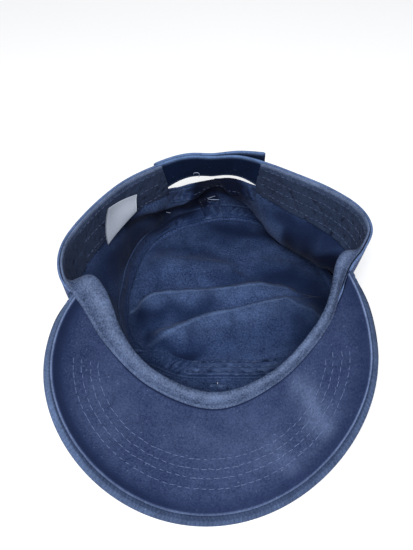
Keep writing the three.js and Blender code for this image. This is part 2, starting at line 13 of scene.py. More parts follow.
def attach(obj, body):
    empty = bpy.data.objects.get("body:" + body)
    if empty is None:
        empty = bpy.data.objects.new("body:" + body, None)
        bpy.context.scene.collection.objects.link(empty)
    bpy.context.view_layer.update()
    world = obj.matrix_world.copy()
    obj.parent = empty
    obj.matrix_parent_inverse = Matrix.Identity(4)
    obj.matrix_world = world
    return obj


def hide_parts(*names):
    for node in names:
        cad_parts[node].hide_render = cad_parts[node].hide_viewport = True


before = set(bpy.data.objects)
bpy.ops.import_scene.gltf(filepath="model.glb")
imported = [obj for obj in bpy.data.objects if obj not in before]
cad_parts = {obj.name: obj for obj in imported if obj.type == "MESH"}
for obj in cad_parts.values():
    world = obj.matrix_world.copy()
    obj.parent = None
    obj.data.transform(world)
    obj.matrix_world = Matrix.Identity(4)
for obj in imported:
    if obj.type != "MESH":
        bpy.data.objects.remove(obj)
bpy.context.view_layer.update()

# ---------------------------------------------------------------- sizes, as in the part's source
MM = 0.001
CLOTH = 1.4
BAND_CLOTH = 1.2
TAPE_CLOTH = 0.8
GAP = 0.4
PLACE = np.array([-5.9, -31.7, 0.0])

VISOR = Sizes(
    middle_x=4.9,
    slope=math.radians(20),
    arch_radius=122.0,
    tip_y=-98.9,
    tip_z=3.3,
    reach=129.2,
    inner_half_width=79.0,
    inner_depth=64.5,
    inner_power=0.78,
    outer_half_width=90.9,
    outer_centre=42.8,
    outer_shift=-1.5,
    behind_right=116.0,
    behind_left=94.0,
    lean=-6.2,
    under_cloth=1.0,
    board=2.7,
    rolled_side=3.2,
    rolled_tip=5.4,
    corner_width=1.0,
    angle_right=114.0,
    angle_left=116.0,
    corner_right=0.78,
    corner_left=0.4,
)
STRAP = Sizes(
    height=25.0,
    thickness=1.6,
    flare=6.0,
    sharpness=5.0,
    end_gap=-0.06,
    cut_back=0.15,
)
BAND = Sizes(
    height=30.0,
    over_strap=0.1,
    foot=1.6,
    crest=6.0,
    shoulder_reach=0.45,
    shoulder_height=0.8,
    rounding=0.6,
    hem_back=1.5,
    turn=5.0,
    hem_drop=14.0,
    least_hem=6.0,
    hem_least_reach=5.6,
)
TAPE = Sizes(
    width=13.0,
    front_start=-14.0,
    wall_start=2.6,
    front_until=1.9,
    wall_from=3.9,
    corner=4.0,
    overlap_from=-0.95,
    overlap_to=1.35,
    overlap_outer=-13.5,
    overlap_inner=-2.5,
)
STRIP = Sizes(half=0.2, low=0.04, high=0.34)
ARCH = Sizes(
    place=(10.0, 10.6, 11.3, 12.0, 12.6, 13.3, 14.0),
    depth=(26.0, 29.5, 30.0, 32.5, 36.5, 36.5, 28.0),
    binding=10.0,
    binding_edge=0.3,
    binding_end=0.12,
)
LABEL = Sizes(
    thickness=0.4,
    back=14.71,
    fore=15.51,
    back_low=14.83,
    fore_low=15.84,
    back_top=13.0,
    fore_top=8.0,
    back_bottom=24.0,
    fore_bottom=31.5,
    hang=2.6,
)

# Strip over the centre-back seam: places, shares of the height, and how far it stands off the tape.
BACK_STRIP = Sizes(start=12.0, end=12.63, low=0.1, high=0.49, lift=1.2)
# Thread ends: knots of (place, share of the height, height off the wall).
LOOSE_THREADS = [
    ((12.32, 0.47, 3.4), (12.2, 0.5, 4.6), (12.05, 0.535, 5.4)),
    ((12.32, 0.465, 3.4), (12.15, 0.465, 4.8), (11.96, 0.475, 5.6)),
    ((12.85, 0.81, 1.2), (12.82, 0.85, 2.4), (12.68, 0.86, 3.0), (12.64, 0.82, 2.6), (12.72, 0.79, 2.0)),
    ((0.62, 0.03, 2.5), (0.68, 0.07, 3.5), (0.72, 0.11, 5.0)),
    ((14.05, 0.6, 3.2), (13.9, 0.57, 4.4), (13.84, 0.54, 4.2)),
]
# Rubbed parts of the visor's face: path of (across, along), half-width, strength.
VISOR_WORN = [
    (((46, 60), (60, 86)), 8.0, 0.3),
    (((30, 96), (48, 104)), 9.0, 0.14),
    (((-20, 84), (20, 86)), 16.0, 0.05),
    (((-66, 60), (-58, 80)), 12.0, 0.05),
]
# How far the sweatband's fold reaches in over the visor, along places from the front.
FOLD_REACH = Sizes(
    place=(-5.0, -4.4, -3.8, -3.3, -2.8, -2.2, -1.6, -0.8, 0.0, 1.0, 2.0, 2.6, 3.2, 3.7, 4.3, 5.0),
    reach=(10.0, 12.5, 16.5, 16.0, 14.5, 11.8, 8.2, 6.7, 6.6, 4.4, 4.5, 4.6, 4.6, 6.1, 5.5, 4.5),
)

# The wall's heights between seam and rim, as shares of the rim's height.
WALL_HEIGHT = Sizes(foot=0.07, belly=0.36, neck=0.66)
# Sections of the crown, from the front round to the right. A place is a section's number or lies between
# two. The rim is x, y, z, or where it is sewn to the visor the place across it and how far in it is drawn.
SECTION_COLUMNS = ("seam_x", "seam_y", "foot", "belly", "neck", "neck_side")
SECTIONS = {  # SECTION_COLUMNS, rim; neck_side is how far the neck is drawn sideways
    "front": (5, 1, 26, 34, -1, 0, (0, 2.5)),
    "front_right": (38, 0, 18, 24, -1, 0, (38, 6.2)),
    "front_right_turn": (61, 7, 8, 10, -1, 0, (62, 4.8)),
    "corner_right": (75, 22, 4, 0, -1, 0, (76, 4.4)),
    "temple_right": (82, 38, 3, -4, -4, 0, (85.6, 24.6, 72.8)),
    "side_right_fore": (86, 53, 3, -7, -6, 0, (95.8, 39, 73.6)),
    "side_right": (88, 70, 3, -9, -6, 0, (103, 56, 75)),
    "side_right_aft": (84, 90, 4, -11, -6, 0, (98.5, 75, 76.3)),
    "back_right_fold": (76, 108, 3, -11, -4, 0, (82.5, 93.5, 77.6)),
    "back_right_turn": (62, 126, 2, -10, -1, 0, (60.5, 110, 78.7)),
    "strap_right": (53, 138, 3, -2, 7, -5, (42.7, 121.6, 79.5)),
    "arch_right": (38, 151, 4, 10, 12, -3, (26, 129, 80)),
    "back": (16, 156, 4, 14, 12.5, 0, (8, 129.4, 80)),
    "arch_left": (-5, 151, 4, 10, 11, 3, (-10, 130.6, 80)),
    "strap_left": (-25, 142, 4, 7, 8, 7, (-29.5, 122.4, 79.7)),
    "back_left_turn": (-40, 124, 4, 3, 0, 0, (-53, 106, 78.5)),
    "side_left_aft": (-48.5, 99, 4, 0, -2, 0, (-74, 79, 76.6)),
    "side_left": (-53, 70, 4, -1, -4, 0, (-87, 51, 74.6)),
    "temple_left": (-50, 45, 5, -3, -5, 0, (-85.5, 25, 72.8)),
    "corner_left": (-43.5, 24, 7, 2, -3, 0, (-76, 0.0)),
    "front_left_turn": (-34, 11.5, 11, 12, -1, 0, (-62, 0.0)),
    "front_left": (-17, 3, 18, 25, -1, 0, (-38, 0.0)),
}
INDEX = {name: i for i, name in enumerate(SECTIONS)}
COUNT = len(SECTIONS)
RIM_INSET = CLOTH / 2 + GAP
BAND_INSET = CLOTH / 2 + 1.5 * GAP + BAND_CLOTH / 2
TOP_MIDDLE = np.array([17.0, 76.0, 0.0])
WALL_SAMPLES = 61
THREAD_SAMPLES = 24
VISOR_COLUMNS = 380
THREAD_RADIUS = 0.2
# The flat top's folds die out this near to the seam, start above this height and melt over this much.
EDGE_EASE = 14.0
FOLD_FOOT = 0.2
FOLD_BLEND = 1.2
TAPE_LIFT = CLOTH / 2 + 2 * GAP + TAPE_CLOTH / 2
ON_TAPE = CLOTH / 2 + 2 * GAP + TAPE_CLOTH
UPWARD = np.array([0.0, 0.0, 1.0])

# Folds of the flat top: path from left to right, height, half-width in front of it, half-width behind it.
TOP_FOLDS = [
    (((-52, 62), (-35, 71), (-4, 74), (37, 77), (56, 73)), 8.0, 15, 6),
    (((-38, 32), (-21, 37), (-5, 45), (22, 53), (54, 62)), 9.5, 18, 6),
    (((54, 62), (80, 43)), 8.5, 15, 9),
    (((-10, 6), (-3, 44)), 3.0, 11, 4),
    (((-40, 111), (-10, 106), (14, 98)), 4.5, 17, 10),
    (((-42, 26), (-14, 11)), 4.5, 7, 7),
    (((48, 104), (72, 92)), 3.0, 12, 12),
]
# Painted shade in the creases and valleys of the flat top: path, half-width, strength.
TOP_SHADES = [
    (((-40, 55), (-24, 59), (4, 62)), 7.0, 0.5),
    (((10, 87), (39, 92), (56, 88)), 8.0, 0.38),
    (((-40, 37), (-28, 29), (-14, 21)), 7.0, 0.5),
    (((-16, 10), (-9, 40)), 5.0, 0.4),
    (((6, 30), (30, 30)), 11.0, 0.22),
    (((-36, 128), (-12, 122), (6, 113)), 9.0, 0.42),
    (((-39, 108), (-34, 86)), 5.0, 0.3),
    (((64, 88), (80, 66)), 20.0, 0.6),
    (((58, 40), (72, 30)), 15.0, 0.5),
    (((-50, 48), (-40, 50)), 8.0, 0.4),
    (((10, 147), (50, 137)), 14.0, 0.6),
]
# Folds of the wall: path of (place, share of the height) to growing places, how far it
# comes in, half-width below it, half-width above it.
WALL_FOLDS = [
    (((7.0, 0.5), (8.2, 0.42), (9.2, 0.36), (10.3, 0.42), (11.2, 0.62)), 7.0, 7, 16),
    (((12.75, 0.56), (13.3, 0.53), (14.0, 0.58), (14.5, 0.72)), 5.0, 5, 7),
    (((14.1, 0.1), (14.2, 0.4)), 2.5, 8, 8),
    (((16.8, 0.35), (17.6, 0.45), (18.6, 0.4)), 3.0, 8, 10),
]
# Painted shade on the wall, under its folds and the arch: path as above, half-width, strength.
WALL_SHADES = [
    (((5.6, 0.4), (7.2, 0.34), (8.3, 0.2), (9.3, 0.12), (10.2, 0.12)), 15.0, 0.9),
    (((6.2, 0.55), (7.2, 0.54), (8.0, 0.5), (8.5, 0.47)), 6.5, 1.1),
    (((6.8, 0.74), (7.6, 0.7), (8.4, 0.62), (9.2, 0.6)), 9.0, 0.55),
    (((10.2, 0.62), (10.9, 0.66), (11.6, 0.66)), 8.0, 0.5),
    (((12.1, 0.62), (12.5, 0.5), (12.9, 0.44), (13.4, 0.42), (14.0, 0.46), (14.8, 0.62)), 6.0, 1.2),
    (((13.2, 0.2), (14.2, 0.28), (15.0, 0.36), (15.8, 0.4)), 11.0, 0.55),
    (((11.35, 0.66), (11.9, 0.6), (12.5, 0.64)), 9.0, 1.6),
    (((15.5, 0.5), (17.0, 0.52), (19.0, 0.45)), 15.0, 0.5),
]
# Millimetres to one place and to the whole height, where the wall is spread on a plane.
WALL_PLANE = np.array([20.0, 78.0])
# Gathers of the seam tape: place, half-width in places, pitch.
PUCKERS = [
    (11.5, 0.35, 4.2),
    (13.6, 0.2, 5.0),
    (14.95, 0.12, 3.2),
    (16.75, 0.12, 3.2),
    (18.9, 0.2, 4.0),
    (20.6, 0.45, 4.5),
]
# Rows of visor stitching: inset at the sides, inset at the tip.
VISOR_ROWS = [(14.2, 19.2), (18.4, 25.0), (22.8, 30.0), (26.8, 35.4)]


# ---------------------------------------------------------------- small helpers
def lerp(a, b, t):
    return a + (b - a) * t


def even(count):
    return np.linspace(0, 1, count)


def grid(first, second):
    return np.meshgrid(first, second, indexing="ij")


def smooth(value, low, high):
    t = np.clip((value - low) / (high - low), 0, 1)
    return t * t * (3 - 2 * t)


def unit(vectors):
    length = np.linalg.norm(vectors, axis=-1, keepdims=True)
    return vectors / np.maximum(length, 1e-9)


def bell(distance, width):
    return np.exp(-((distance / width) ** 2))


class Waves:
    """A smooth seeded field over space: a sum of plane waves between two wavelengths."""

    def __init__(self, seed, shortest, longest, count=24):
        rng = np.random.default_rng(seed)
        directions = unit(rng.normal(size=(count, 3)))
        lengths = np.exp(rng.uniform(math.log(shortest), math.log(longest), count))
        self.vectors = directions * (2 * math.pi / lengths)[:, None]
        self.phases = rng.uniform(0, 2 * math.pi, count)
        self.scale = math.sqrt(2 / count)

    def __call__(self, points):
        total = np.zeros(points.shape[:-1])
        for vector, phase in zip(self.vectors, self.phases):
            total += np.sin(points @ vector + phase)
        return total * self.scale


def cubic(value, stations, levels):
    """A smooth curve through the levels at the stations."""
    stations = np.asarray(stations)
    levels = np.asarray(levels)
    slopes = np.gradient(levels, stations)
    value = np.clip(value, stations[0], stations[-1])
    k = np.clip(np.searchsorted(stations, value, side="right") - 1, 0, len(stations) - 2)
    width = stations[k + 1] - stations[k]
    t = (value - stations[k]) / width
    start = (1 + 2 * t) * (1 - t) ** 2 * levels[k] + t * (1 - t) ** 2 * width * slopes[k]
    return start + t * t * (3 - 2 * t) * levels[k + 1] + t * t * (t - 1) * width * slopes[k + 1]


WANDER = Waves(seed=23, shortest=18, longest=45)


def near_segment(points, start, end):
    """Distance to a segment."""
    start = np.asarray(start, float)
    along = np.asarray(end, float) - start
    share = np.clip((points - start) @ along / (along @ along), 0, 1)
    return np.linalg.norm(points - start - share[..., None] * along, axis=-1)


# ---------------------------------------------------------------- visor surface
VISOR_DOWN = np.array([0.0, -math.cos(VISOR.slope), -math.sin(VISOR.slope)])
VISOR_UP = np.array([0.0, -math.sin(VISOR.slope), math.cos(VISOR.slope)])
VISOR_TIP = np.array([VISOR.middle_x, VISOR.tip_y, VISOR.tip_z])
VISOR_ROOT = VISOR_TIP - VISOR_DOWN * VISOR.reach
SIDEWAYS = np.array([1.0, 0.0, 0.0])


def visor_normal(across):
    bend = np.asarray(across, float) / VISOR.arch_radius
    return unit(VISOR_UP - bend[..., None] * SIDEWAYS)


def visor_point(across, along, lift=0.0):
    across = np.asarray(across, float)
    along = np.asarray(along, float)
    rise = across * across / (2 * VISOR.arch_radius)
    point = VISOR_ROOT + across[..., None] * SIDEWAYS + along[..., None] * VISOR_DOWN
    point = point + rise[..., None] * VISOR_UP
    return point + np.asarray(lift, float)[..., None] * visor_normal(across)


def visor_inner(across):
    share = 1 - (np.asarray(across, float) / VISOR.inner_half_width) ** 2
    return VISOR.inner_depth * np.maximum(share, 0) ** VISOR.inner_power


def visor_drift(along):
    return VISOR.outer_shift + VISOR.lean * along / VISOR.reach


def visor_depth(side, ahead):
    """Half-axis of the outline along the visor, on one side of its widest place."""
    behind = np.where(side >= 0, VISOR.behind_right, VISOR.behind_left)
    return np.where(ahead >= 0, VISOR.reach - VISOR.outer_centre, behind)


def visor_outer(angle, inset=0.0):
    depth = visor_depth(np.sin(angle), np.cos(angle))
    along = VISOR.outer_centre + (depth - inset) * np.cos(angle)
    across = (VISOR.outer_half_width - inset) * np.sin(angle) + visor_drift(along)
    return across, along


def visor_inset(across, along):
    """How far a place on the visor lies inside its outer edge, and at which angle."""
    side = across - visor_drift(along)
    ahead = along - VISOR.outer_centre

    def scaled(inset):
        return side / (VISOR.outer_half_width - inset), ahead / (visor_depth(side, ahead) - inset)

    margin = 4.0
    low = np.full(side.shape, -margin)
    high = np.full(side.shape, VISOR.outer_half_width - margin)
    for _ in range(26):
        middle = (low + high) / 2
        wide, deep = scaled(middle)
        inside = wide * wide + deep * deep < 1
        low = np.where(inside, middle, low)
        high = np.where(inside, high, middle)
    inset = (low + high) / 2
    return inset, np.arctan2(*scaled(inset))


def rolled_width(angle):
    """Width of the rolled edge that shows beyond the under cloth."""
    return lerp(VISOR.rolled_side, VISOR.rolled_tip, np.maximum(np.cos(angle), 0) ** 1.5)


# ---------------------------------------------------------------- crown surface
RIM_COLUMNS = ("rim_x", "rim_y", "rim_z")


def section_table():
    table = {key: [] for key in RIM_COLUMNS + SECTION_COLUMNS}
    for *row, rim in SECTIONS.values():
        if len(rim) == 2:
            across, drawn_in = rim
            rim = visor_point(across - drawn_in, visor_inner(across) - RIM_INSET)
        for key, value in zip(RIM_COLUMNS + SECTION_COLUMNS, (*rim, *row)):
            table[key].append(float(value))
    return {key: np.array(values) for key, values in table.items()}


TABLE = section_table()


def column(key, place):
    """A smooth closed curve through one column's values."""
    values = TABLE[key]
    whole = np.floor(place).astype(int)
    t = place - whole
    a, b, c, d = (values[(whole + k) % COUNT] for k in (-1, 0, 1, 2))
    third = -a + 3 * b - 3 * c + d
    square = 2 * a - 5 * b + 4 * c - d
    return 0.5 * (2 * b + (c - a) * t + square * t * t + third * t * t * t)


def from_front(place):
    """Places to the right of the front, negative to the left."""
    return np.mod(np.asarray(place, float) + COUNT / 2, COUNT) - COUNT / 2


def rim_at(place):
    return np.stack([column(key, place) for key in RIM_COLUMNS], axis=-1)


def seam_at(place):
    x = column("seam_x", place)
    return np.stack([x, column("seam_y", place), np.full(x.shape, CLOTH / 2)], axis=-1)


def out_of(loop, place):
    """Level direction out of the crown, square to a loop."""
    along = loop(place + 0.05) - loop(place - 0.05)
    return unit(np.stack([along[..., 1], -along[..., 0], np.zeros(along.shape[:-1])], axis=-1))


def spline(knots, up):
    """Centripetal curve through the inner knots, at shares of its spans."""
    spans = knots.shape[-2] - 3
    position = np.clip(up, 0, 1) * spans
    first = np.clip(np.floor(position).astype(int), 0, spans - 1)
    t = (position - first)[..., None]
    p0, p1, p2, p3 = (
        np.take_along_axis(knots, (first + k)[..., None, None], axis=-2)[..., 0, :] for k in range(4)
    )
    d0 = np.sqrt(np.linalg.norm(p1 - p0, axis=-1, keepdims=True))
    d1 = np.sqrt(np.linalg.norm(p2 - p1, axis=-1, keepdims=True))
    d2 = np.sqrt(np.linalg.norm(p3 - p2, axis=-1, keepdims=True))
    start = ((p1 - p0) / d0 - (p2 - p0) / (d0 + d1) + (p2 - p1) / d1) * d1
    end = ((p2 - p1) / d1 - (p3 - p1) / (d1 + d2) + (p3 - p2) / d2) * d1
    square = -3 * p1 + 3 * p2 - 2 * start - end
    third = 2 * p1 - 2 * p2 + start + end
    return p1 + start * t + square * t * t + third * t * t * t


def wall_point(place, up):
    """Middle of the wall's cloth. up: 0 at the seam, 1 at the rim."""
    place, up = np.broadcast_arrays(np.asarray(place, float), np.asarray(up, float))
    out = out_of(seam_at, place)
    rim = rim_at(place)
    seam = seam_at(place) + out * (CLOTH / 2 + GAP)
    foot = seam + out * column("foot", place)[..., None]
    foot[..., 2] = seam[..., 2] + WALL_HEIGHT.foot * rim[..., 2]
    belly = (seam + rim) / 2 + out * column("belly", place)[..., None]
    belly[..., 2] = WALL_HEIGHT.belly * rim[..., 2]
    neck = rim + out_of(rim_at, place) * column("neck", place)[..., None]
    neck[..., 0] += column("neck_side", place)
    neck[..., 2] = WALL_HEIGHT.neck * rim[..., 2]
    knots = np.stack([2 * seam - foot, seam, foot, belly, neck, rim, 2 * rim - neck], axis=-2)
    return spline(knots, up)


def wall_normal(place, up):
    """Out of the crown, square to the wall."""
    around = wall_point(place + 0.02, up) - wall_point(place - 0.02, up)
    rise = wall_point(place, np.minimum(up + 0.01, 1)) - wall_point(place, np.maximum(up - 0.01, 0))
    return unit(np.cross(around, rise))


def walked(points):
    """Length walked along a path, or along each of many, up to every point."""
    steps = np.linalg.norm(np.diff(points, axis=-2), axis=-1)
    return np.concatenate([np.zeros(steps.shape[:-1] + (1,)), np.cumsum(steps, axis=-1)], axis=-1)


def up_at(place, distance, shares):
    """Where on the wall a distance along its curve leads to."""
    place, distance = np.broadcast_arrays(np.asarray(place, float), np.asarray(distance, float))
    lengths = walked(wall_point(place.reshape(-1, 1), shares))
    found = [np.interp(d, row, shares) for d, row in zip(distance.ravel(), lengths)]
    return np.array(found).reshape(place.shape)


def up_below_rim(place, distance):
    return up_at(place, distance, np.linspace(1, 0, WALL_SAMPLES))


def up_above_seam(place, distance):
    return up_at(place, distance, even(WALL_SAMPLES))


def near_path(points, path):
    """Distance to a path in a plane, and how far to the right of it the points lie."""
    nearest = np.full(points.shape[:-1], np.inf)
    right = np.zeros(points.shape[:-1])
    for start, end in zip(path[:-1], path[1:]):
        away = near_segment(points, start, end)
        along = unit(np.subtract(end, start).astype(float))
        offset = points - np.asarray(start)
        side = offset[..., 0] * along[1] - offset[..., 1] * along[0]
        nearer = away < nearest
        nearest = np.where(nearer, away, nearest)
        right = np.where(nearer, side, right)
    return nearest, right


def folded(points, folds):
    """Height of folds over a plane: each has its own width on either side of its path."""
    height = np.zeros(points.shape[:-1])
    for path, tall, right_width, left_width in folds:
        away, right = near_path(points, path)
        width = lerp(left_width, right_width, smooth(right, -3, 3))
        ridge = tall * bell(away, width)
        height = np.log(np.exp(height / FOLD_BLEND) + np.exp(ridge / FOLD_BLEND) - 1) * FOLD_BLEND
    return height


def shaded(points, shades):
    """Soft strokes along paths. They wander a little, so that they don't read as drawn."""
    spots = np.concatenate([points, 0 * points[..., :1]], axis=-1)
    points = points + 2.5 * np.stack([WANDER(spots), WANDER(spots + 50)], axis=-1)
    clear = np.ones(points.shape[:-1])
    for path, width, strength in shades:
        away, _ = near_path(points, path)
        clear = clear * np.maximum(1 - strength * bell(away, width), 0)
    return 1 - clear


def on_wall_plane(table):
    return [(np.array(path) * WALL_PLANE, *rest) for path, *rest in table]


def wall_fold(place, up):
    """How far the wall's folds come in."""
    plane = np.stack([place, up], axis=-1) * WALL_PLANE
    below_arch = up_below_rim(place, arch_depth(place)) - up
    calm = smooth(up, 0.17, 0.3) * np.minimum(smooth(1 - up, 0.12, 0.35), smooth(below_arch, -0.05, 0.12))
    return folded(plane, on_wall_plane(WALL_FOLDS)) * calm


def wall_shade(place, up):
    plane = np.stack([place, up], axis=-1) * WALL_PLANE
    return shaded(plane, on_wall_plane(WALL_SHADES))


def within_wall(place, up, inset):
    """Points that far in from the middle of the wall's cloth."""
    return wall_point(place, up) - wall_normal(place, up) * np.asarray(inset)[..., None]


def on_lining(place, up, inset):
    """The same on cloth that follows the wall's folds."""
    return within_wall(place, up, inset + wall_fold(place, up))


def pucker(place, distance):
    """Relief of the tape's gathers: slanting waves of uneven height."""
    relief = np.zeros(place.shape)
    for middle, half, pitch in PUCKERS:
        bent = 0.35 * distance + 0.9 * np.sin(0.8 * distance + 9 * place)
        wave = np.sin(2 * math.pi * ((place - middle) * WALL_PLANE[0] + bent) / pitch)
        uneven = 0.65 + 0.35 * np.sin(11 * place + 0.5 * distance)
        relief += 0.6 * bell(place - middle, half) * wave * uneven
    return relief


def tape_start(place):
    """Where the seam tape begins: distance above the seam, negative on the flat top."""
    on_wall = smooth(np.abs(from_front(place)), TAPE.front_until, TAPE.wall_from)
    return lerp(TAPE.front_start, TAPE.wall_start, on_wall)


def top_point(place, reach):
    """Middle of the flat top's cloth. reach: 0 at its middle, 1 at the seam."""
    edge = seam_at(place)
    point = lerp(TOP_MIDDLE, edge, reach[..., None])
    from_edge = (1 - reach) * np.linalg.norm((edge - TOP_MIDDLE)[..., :2], axis=-1)
    taped = np.maximum(0, TAPE.corner - tape_start(place))
    ease = smooth((from_edge - taped) / EDGE_EASE, 0, 1)
    point[..., 2] = CLOTH / 2 + ease * np.maximum(folded(point[..., :2], TOP_FOLDS) - FOLD_FOOT, 0)
    return point


def arch_depth(place):
    return cubic(place, ARCH.place, ARCH.depth)


def tape_point(place, distance):
    up = up_above_seam(place, np.maximum(distance, 0))
    on_wall = on_lining(place, up, TAPE_LIFT)
    radius = np.linalg.norm((seam_at(place) - TOP_MIDDLE)[..., :2], axis=-1)
    on_top = top_point(place, 1 + np.minimum(distance, 0) / radius)
    on_top[..., 2] += TAPE_LIFT
    return np.where((distance >= 0)[..., None], on_wall, on_top)


def cornered_tape(place, distance):
    """The tape's middle, rounded where it turns from the flat top to the wall."""
    reach = TAPE.corner
    t = np.clip((distance + reach) / (2 * reach), 0, 1)[..., None]
    low, corner, high = (tape_point(place, np.full(place.shape, d)) for d in (-reach, 0.0, reach))
    rounded = low * (1 - t) ** 2 + high * t**2 + corner * 2 * t * (1 - t)
    eased = lerp(lerp(low, high, t), rounded, 0.6)
    return np.where((np.abs(distance) >= reach)[..., None], tape_point(place, distance), eased)


# Places from the middle of the front over which the roll dies out, and its foot leaves the visor.
ROLL_RIGHT = (INDEX["corner_right"] + 0.9, INDEX["side_right"] - 0.1)
ROLL_LEFT = (COUNT - INDEX["corner_left"] + 0.1, COUNT - INDEX["temple_left"] + 0.3)
FOOT_RIGHT = (INDEX["corner_right"] - 0.6, INDEX["corner_right"] + 0.4)
FOOT_LEFT = (COUNT - INDEX["corner_left"] + 0.2, COUNT - INDEX["temple_left"] + 0.3)


def fading(place, right, left):
    """1 round the front, and 0 beyond the places on either side."""
    aside = from_front(place)
    return np.minimum(1 - smooth(aside, *right), 1 - smooth(-aside, *left))


def roll_share(place):
    return fading(place, ROLL_RIGHT, ROLL_LEFT)


def band_point(place, down):
    """Middle of the sweatband's cloth. down: 0 at the rim, 1 at its free edge."""
    hung = on_lining(place, up_below_rim(place, down * BAND.height), BAND_INSET)
    roll = roll_share(place)[..., None]
    inward = -out_of(rim_at, place)
    rim = rim_at(place)
    # Over the visor the foot stands on the visor's cloth, outside the wall's rim.
    outside = rim - inward * BAND.foot
    across = outside[..., 0] - VISOR.middle_x
    along = (outside - VISOR_ROOT) @ VISOR_DOWN
    on_visor = visor_point(across, along, BAND_CLOTH / 2)
    inside = rim + inward * BAND_INSET
    standing = fading(place, FOOT_RIGHT, FOOT_LEFT)[..., None]
    foot = lerp(inside, on_visor, standing)
    lean = cubic(from_front(place), FOLD_REACH.place, FOLD_REACH.reach)[..., None]
    tall = BAND.crest
    shoulder = foot + inward * lean * BAND.shoulder_reach + UPWARD * tall * BAND.shoulder_height
    crest = foot + inward * (lean - BAND.rounding) + UPWARD * tall
    turned = foot + inward * lean + UPWARD * (tall - BAND.turn)
    hem = foot + inward * np.maximum(lean - BAND.hem_back, BAND.hem_least_reach)
    hem[..., 2] = np.maximum(foot[..., 2] - BAND.hem_drop, BAND.least_hem)
    knots = np.stack([2 * foot - shoulder, foot, shoulder, crest, turned, hem, 2 * hem - turned], axis=-2)
    rolled = spline(knots, down)
    return lerp(hung, rolled, roll)


# ---------------------------------------------------------------- meshes
def grid_normals(middle, closed):
    """Normals of a grid of points, which may be closed round its columns."""
    if closed:
        around = np.roll(middle, -1, axis=0) - np.roll(middle, 1, axis=0)
    else:
        around = np.gradient(middle, axis=0)
    along = np.gradient(middle, axis=1)
    return unit(np.cross(around, along))


def arc_lengths(middle, closed):
    """Lengths along the middle row for each column, and along each column for its rows."""
    row = middle[:, middle.shape[1] // 2]
    v = walked(middle)
    if closed:
        row = np.concatenate([row, row[:1]])
        v = np.concatenate([v, v[:1]])
    return walked(row), v


def make_object(name, points, quads, corner_uv, fields):
    """A mesh object from points in millimetres, its faces, UVs in metres and float fields."""
    volume = 0.0
    for k in (1, 2):
        a, b, c = (points[quads[:, i]] for i in (0, k, k + 1))
        volume += np.einsum("ij,ij->", a, np.cross(b, c))
    if volume < 0:
        quads = quads[:, ::-1]
        corner_uv = corner_uv[:, ::-1]
    mesh = bpy.data.meshes.new(name)
    mesh.vertices.add(len(points))
    mesh.vertices.foreach_set("co", ((points + PLACE) * MM).ravel())
    mesh.loops.add(quads.size)
    mesh.loops.foreach_set("vertex_index", quads.ravel())
    mesh.polygons.add(len(quads))
    mesh.polygons.foreach_set("loop_start", np.arange(0, quads.size, 4))
    mesh.update(calc_edges=True)
    mesh.polygons.foreach_set("use_smooth", np.ones(len(quads), bool))
    layer = mesh.uv_layers.new(name="weave")
    layer.data.foreach_set("uv", (corner_uv * MM).ravel())
    for key, values in fields.items():
        attribute = mesh.attributes.new(key, "FLOAT", "POINT")
        attribute.data.foreach_set("value", values)
    mesh.validate()
    obj = bpy.data.objects.new(name, mesh)
    bpy.context.collection.objects.link(obj)
    return obj


# Steps round each border of a sheet.
BORDER_ROUNDS = 4


